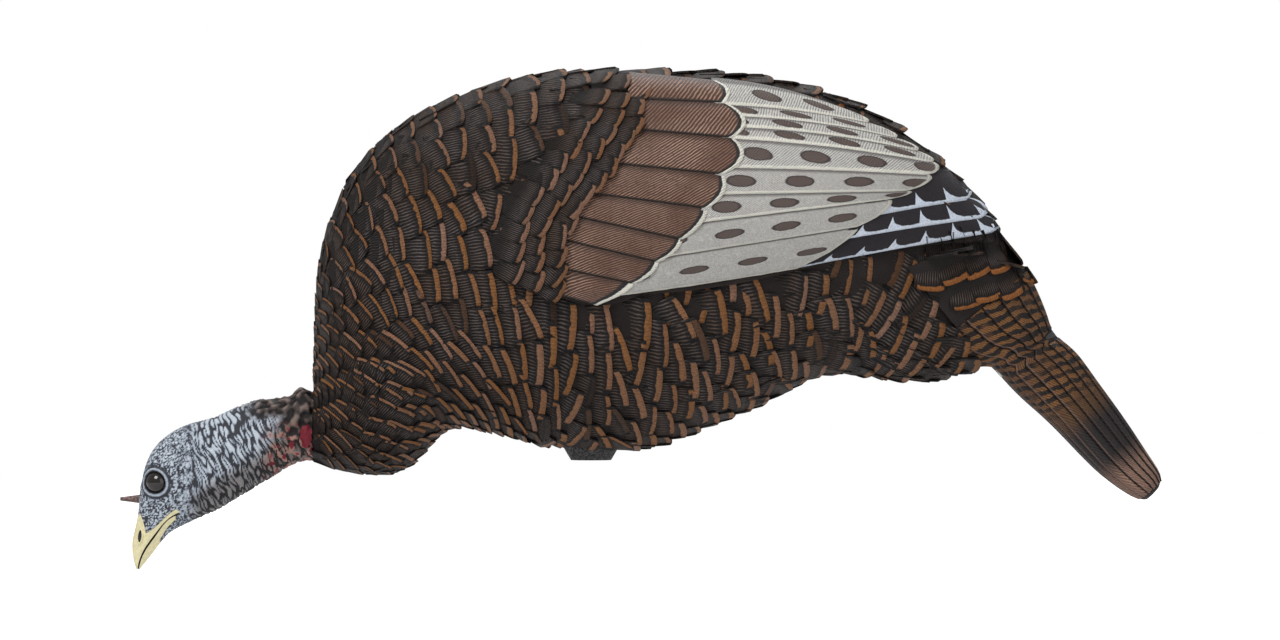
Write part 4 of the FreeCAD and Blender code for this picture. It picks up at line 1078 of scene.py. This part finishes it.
class DECOY_OT_head(bpy.types.Operator):
    """Wrinkles and paints the head, and finishes the beak, the eyes and the snood"""

    bl_idname = "decoy.head"
    bl_label = "Head"

    def execute(self, context):
        paints = context.scene.decoy_paint
        source = frame["nodes"]["head_skin"].data.copy()
        work = bmesh.new()
        work.from_mesh(source)
        bmesh.ops.remove_doubles(work, verts=work.verts, dist=0.00002)
        work.to_mesh(source)
        work.free()
        rough = bpy.data.objects.new("head_blank", source)
        bpy.context.scene.collection.objects.link(rough)
        remesh = rough.modifiers.new("Remesh", "REMESH")
        remesh.mode = "VOXEL"
        remesh.voxel_size = 0.00085
        graph = bpy.context.evaluated_depsgraph_get()
        data = bpy.data.meshes.new_from_object(rough.evaluated_get(graph))
        bpy.data.objects.remove(rough)
        self.wrinkle(data)
        data.polygons.foreach_set("use_smooth", [True] * len(data.polygons))
        data.name = "wrinkled_head"
        settle("wrinkled_head", data, head_finish(paints), "head", "head_vinyl", "head_skin")
        horn = plain_finish("beak_horn", Vector(paints.horn) * 0.8, paints.horn, 420.0, 0.42)
        pit = plain_finish("nostril_pit", (0.004, 0.003, 0.003), (0.012, 0.009, 0.008), 500.0, 0.7)
        self.nostrils(horn, pit)
        eye = plain_finish("eye_glass", (0.008, 0.006, 0.006), (0.013, 0.009, 0.008), 300.0, 0.10, depth=0.00001)
        fleshy = plain_finish("snood_skin", (0.02, 0.014, 0.014), (0.20, 0.11, 0.10), 620.0, 0.5, depth=0.0008)
        for node, material in (("upper_beak", horn), ("lower_beak", horn), ("left_eye", eye), ("right_eye", eye),
                               ("snood", fleshy)):
            dress(node, material)
        return {"FINISHED"}

    def nostrils(self, horn, pit):
        """A raised oval rim around a dark pit, on each side of the upper beak."""
        tree = skin_tree("upper_beak")
        for label, side in SIDES.items():
            centre, normal = side_cast(tree, Vector(NOSTRIL) * MM, side)
            along = Vector((0.16, 0, 0.99))
            along = (along - normal * along.dot(normal)).normalized()
            seat = Matrix((along, normal.cross(along), normal)).transposed().to_4x4()
            seat.translation = centre
            for part, material in (("rim", horn), ("pit", pit)):
                mesh = bmesh.new()
                if part == "rim":
                    oval_ring(mesh, 5.2, 2.1, 0.75)
                else:
                    bmesh.ops.create_uvsphere(mesh, u_segments=24, v_segments=12, radius=1.0,
                                              matrix=Matrix.Diagonal((4.8, 1.7, 0.5, 1.0)))
                bmesh.ops.scale(mesh, vec=(MM, MM, MM), verts=mesh.verts)
                bmesh.ops.transform(mesh, matrix=seat, verts=mesh.verts)
                bmesh.ops.recalc_face_normals(mesh, faces=mesh.faces)
                for face in mesh.faces:
                    face.smooth = True
                data = bpy.data.meshes.new(f"{label}_nostril_{part}")
                mesh.to_mesh(data)
                mesh.free()
                settle(data.name, data, material, "head", "beak_vinyl")

    def wrinkle(self, data):
        """Moves the skin in and out along its normals, and stores where each paint goes."""
        count = len(data.vertices)
        axis = Vector((-0.92, 0, -0.39))
        names = ("crest", "bare", "flesh", "red", "socket")
        tables = {name: np.zeros(count) for name in names}
        moved = np.zeros(count * 3)
        boxes = [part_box(node) for node in ("left_eye", "right_eye")]
        eyes = [sum((Vector(corner) for corner in box), Vector()) / 2 for box in boxes]
        for index, vertex in enumerate(data.vertices):
            x, y, z = (value / MM for value in vertex.co)
            spot = Vector((x, y, z))
            down = spot.dot(axis)
            rim = spot - axis * down
            face = smooth(x, -278, -312)
            bend = noise.noise(rim * 0.16) * 0.5 + noise.noise(spot * 0.06) * 0.8
            fold = abs(noise.noise(Vector((down * 0.44 + bend, rim.y * 0.09, rim.z * 0.10))))
            pebble = abs(noise.noise(spot * 0.50))
            creased = smooth(fold, 0.03, 0.34) * (1 - face) + smooth(pebble, 0.0, 0.34) * face
            nape = max(smooth(x, -262, -240) * smooth(z, 26, 36), smooth(x, -238, -220) * smooth(z, 10, 24))
            lump = 0.5 + noise.noise(spot * 0.22 + Vector((9, 4, 1))) * 1.3
            shape = creased * (1 - nape) + lump * nape
            throat = smooth(z - (0.60 * (x + 300) - 31), 8, -5) * smooth(x, -300, -284)
            root = smooth(x, -244, -228) * smooth(z, 30, 18)
            spots = noise.noise(spot * 0.24 + Vector((3, 0, 7)))
            patch = math.hypot((x + 208) / 4.5, (z - 18) / 9) + noise.noise(spot * 0.4) * 0.3
            gap = min((vertex.co - eye).length for eye in eyes) / MM
            lid = math.exp(-((gap - 10.6) / 1.0) ** 2)
            mouth = mouth_gap(x, z)
            # Painted light: the crest mask drops to nothing within 15 mm of the eye, a painted shade round it, and
            # the lid's ring is painted as a lit crest.
            tables["crest"][index] = max(shape * smooth(gap, 10.5, 15.0), lid * 0.9)
            tables["bare"][index] = (1 - nape) * (1 - 0.75 * throat) * (1 - 0.7 * root)
            tables["flesh"][index] = root * smooth(spots, -0.15, 0.12)
            tables["red"][index] = max(root * smooth(spots, 0.30, 0.36), smooth(patch, 1.1, 0.95))
            # Painted shade in the eye socket, within about 10 mm of the eye's centre, and a dark band along the
            # mouth line.
            tables["socket"][index] = max(smooth(gap, 10.2, 9.0), smooth(mouth, 1.5, 1.0))
            depth = (0.95 * (1 - face) + 0.40 * face) * (1 + 0.9 * nape)
            height = (shape - 0.55) * depth * smooth(mouth, 1.0, 4.0) * smooth(gap, 8.0, 11.0) + lid * 1.1
            moved[index * 3:index * 3 + 3] = vertex.co + vertex.normal * (height * MM)
        data.vertices.foreach_set("co", moved)
        for label, table in tables.items():
            data.attributes.new(label, "FLOAT", "POINT").data.foreach_set("value", table)
        data.update()


def oval_ring(mesh, long, wide, tube):
    """A closed oval tube about the Z axis, in millimetres."""
    rings = []
    for step in range(28):
        turn = math.tau * step / 28
        out = Vector((math.cos(turn), math.sin(turn), 0))
        centre = Vector((long * out.x, wide * out.y, 0))
        ring = []
        for corner in range(8):
            angle = math.tau * corner / 8
            rise = Vector((0, 0, tube * math.sin(angle)))
            ring.append(mesh.verts.new(centre + out * (tube * math.cos(angle)) + rise))
        rings.append(ring)
    for near, far in zip(rings, rings[1:] + rings[:1]):
        for a, b, c, d in zip(near, near[1:] + near[:1], far[1:] + far[:1], far):
            mesh.faces.new((a, b, c, d))


def mouth_gap(x, z):
    """Distance in the side view from the line of the mouth, in millimetres."""
    nearest = REACH / MM
    for (x0, z0), (x1, z1) in zip(MOUTH_LINE, MOUTH_LINE[1:]):
        run, rise = x1 - x0, z1 - z0
        share = ((x - x0) * run + (z - z0) * rise) / (run * run + rise * rise)
        share = min(max(share, 0.0), 1.0)
        nearest = min(nearest, math.hypot(x - x0 - share * run, z - z0 - share * rise))
    return nearest


def smooth(value, low, high):
    """0 at low, 1 at high, and an even curve between them."""
    share = min(max((value - low) / (high - low), 0.0), 1.0)
    return share * share * (3 - 2 * share)


class DECOY_OT_fittings(bpy.types.Operator):
    """Gives the boss, the stake's tube, the bushes, the sockets and the seals their finishes"""

    bl_idname = "decoy.fittings"
    bl_label = "Fittings"

    def execute(self, context):
        finishes = {
            "boss_plastic": plain_finish("stippled_boss", (0.006, 0.006, 0.007), (0.060, 0.058, 0.060), 620.0, 0.62,
                                         depth=0.0012, specular=0.2),
            "inner_plastic": plain_finish("black_moulding", (0.014, 0.014, 0.015), (0.030, 0.030, 0.032),
                                          1500.0, 0.5),
            "bush_nylon": plain_finish("natural_nylon", (0.62, 0.60, 0.54), (0.74, 0.73, 0.68), 900.0, 0.42),
            "zinc_steel": plain_finish("zinc_steel", (0.42, 0.43, 0.45), (0.62, 0.63, 0.65), 240.0, 0.32, 1.0),
            "spring_steel": plain_finish("spring_steel", (0.05, 0.05, 0.055), (0.12, 0.12, 0.125), 500.0, 0.4, 1.0),
            "seal_rubber": plain_finish("seal_rubber", (0.012, 0.012, 0.012), (0.026, 0.026, 0.026), 1200.0, 0.7),
            "bung_rubber": plain_finish("bung_rubber", (0.030, 0.030, 0.030), (0.055, 0.054, 0.052), 1200.0, 0.7),
        }
        for entry in frame["record"]["subparts"]:
            if entry["material_slot"] in finishes:
                dress(entry["node"], finishes[entry["material_slot"]])
        return {"FINISHED"}


class DECOY_OT_stage(bpy.types.Operator):
    """Sets up the pale floor, the soft lights and the camera"""

    bl_idname = "decoy.stage"
    bl_label = "Stage"

    def execute(self, context):
        studio, scene = context.scene.decoy_studio, context.scene
        low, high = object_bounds()
        middle = (low + high) / 2
        floor = self.floor(low.z - studio.floor_gap)
        floor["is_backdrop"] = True
        for name, place, size, power in LAMPS:
            lamp = bpy.data.lights.new(name, "AREA")
            lamp.size, lamp.energy = size, power
            holder = bpy.data.objects.new(name, lamp)
            holder.location = middle + Vector(place)
            holder.rotation_euler = (-Vector(place)).to_track_quat("-Z", "Y").to_euler()
            scene.collection.objects.link(holder)
        self.sky(scene)
        lens = bpy.data.cameras.new("camera")
        lens.lens, lens.sensor_width = studio.focal_length, 36.0
        distance = studio.picture_width * studio.focal_length / lens.sensor_width
        camera = bpy.data.objects.new("camera", lens)
        camera.location = (0.0360, -distance, 0.1029)
        camera.rotation_euler = (math.pi / 2, 0, 0)
        lens.clip_end = 100.0
        scene.collection.objects.link(camera)
        scene.camera = camera
        scene.view_settings.view_transform = "Standard"
        return {"FINISHED"}

    def floor(self, level):
        """A pale floor that looks white far away, and can be looked through from below."""
        half = 4.0
        corners = [(x * half, y * half, level) for x, y in ((-1, -1), (1, -1), (1, 1), (-1, 1))]
        data = bpy.data.meshes.new("floor")
        data.from_pydata(corners, [], [(0, 1, 2, 3)])
        paper = plain_finish("paper", (0.86, 0.86, 0.86), (0.89, 0.89, 0.89), 30.0, 0.9)
        nodes, links = paper.node_tree.nodes, paper.node_tree.links
        surface = next(node for node in nodes if node.type == "BSDF_PRINCIPLED")
        end = next(node for node in nodes if node.type == "OUTPUT_MATERIAL")
        ray, side = nodes.new("ShaderNodeLightPath"), nodes.new("ShaderNodeNewGeometry")
        glow = nodes.new("ShaderNodeMath")
        glow.operation = "MULTIPLY"
        glow.inputs[1].default_value = 0.6
        clear, either = nodes.new("ShaderNodeBsdfTransparent"), nodes.new("ShaderNodeMixShader")
        surface.inputs["Emission Color"].default_value = (1.0, 1.0, 1.0, 1.0)
        links.new(ray.outputs["Is Camera Ray"], glow.inputs[0])
        links.new(glow.outputs[0], surface.inputs["Emission Strength"])
        links.new(side.outputs["Backfacing"], either.inputs["Fac"])
        links.new(surface.outputs["BSDF"], either.inputs[1])
        links.new(clear.outputs["BSDF"], either.inputs[2])
        links.new(either.outputs["Shader"], end.inputs["Surface"])
        data.materials.append(paper)
        floor = bpy.data.objects.new("floor", data)
        bpy.context.scene.collection.objects.link(floor)
        return floor

    def sky(self, scene):
        """Even light from all around, and pure white where the camera looks past the floor."""
        world = bpy.data.worlds.new("studio")
        world.use_nodes = True
        nodes, links = world.node_tree.nodes, world.node_tree.links
        even = nodes["Background"]
        even.inputs["Color"].default_value = (1.0, 1.0, 1.0, 1.0)
        ray, strength = nodes.new("ShaderNodeLightPath"), nodes.new("ShaderNodeMapRange")
        strength.inputs["To Min"].default_value = 0.42
        strength.inputs["To Max"].default_value = 1.0
        links.new(ray.outputs["Is Camera Ray"], strength.inputs["Value"])
        links.new(strength.outputs["Result"], even.inputs["Strength"])
        scene.world = world


class DECOY_PT_panel(bpy.types.Panel):
    """Lists the steps that finish the decoy"""

    bl_idname = "DECOY_PT_panel"
    bl_label = "Feeding hen decoy"
    bl_space_type = "VIEW_3D"
    bl_region_type = "UI"
    bl_category = "Decoy"

    def draw(self, context):
        scene = context.scene
        for group in (scene.decoy_feathers, scene.decoy_paint, scene.decoy_studio):
            box = self.layout.box()
            for name in group.bl_rna.properties.keys():
                if name not in ("rna_type", "name"):
                    box.prop(group, name)
        for step in STEPS:
            self.layout.operator(step.bl_idname)


GROUPS = (DecoyFeathers, DecoyPaint, DecoyStudio)
STEPS = (DECOY_OT_body_feathers, DECOY_OT_wings, DECOY_OT_tail, DECOY_OT_head, DECOY_OT_fittings,
         DECOY_OT_stage)


def register():
    for item in (*GROUPS, *STEPS, DECOY_PT_panel):
        bpy.utils.register_class(item)
    bpy.types.Scene.decoy_feathers = PointerProperty(type=DecoyFeathers)
    bpy.types.Scene.decoy_paint = PointerProperty(type=DecoyPaint)
    bpy.types.Scene.decoy_studio = PointerProperty(type=DecoyStudio)


def unregister():
    del bpy.types.Scene.decoy_studio
    del bpy.types.Scene.decoy_paint
    del bpy.types.Scene.decoy_feathers
    for item in reversed((*GROUPS, *STEPS, DECOY_PT_panel)):
        bpy.utils.unregister_class(item)


def main():
    register()
    bpy.ops.decoy.body_feathers()
    bpy.ops.decoy.wings()
    bpy.ops.decoy.tail()
    bpy.ops.decoy.head()
    bpy.ops.decoy.fittings()
    bpy.ops.decoy.stage()


if __name__ == "__main__":
    main()
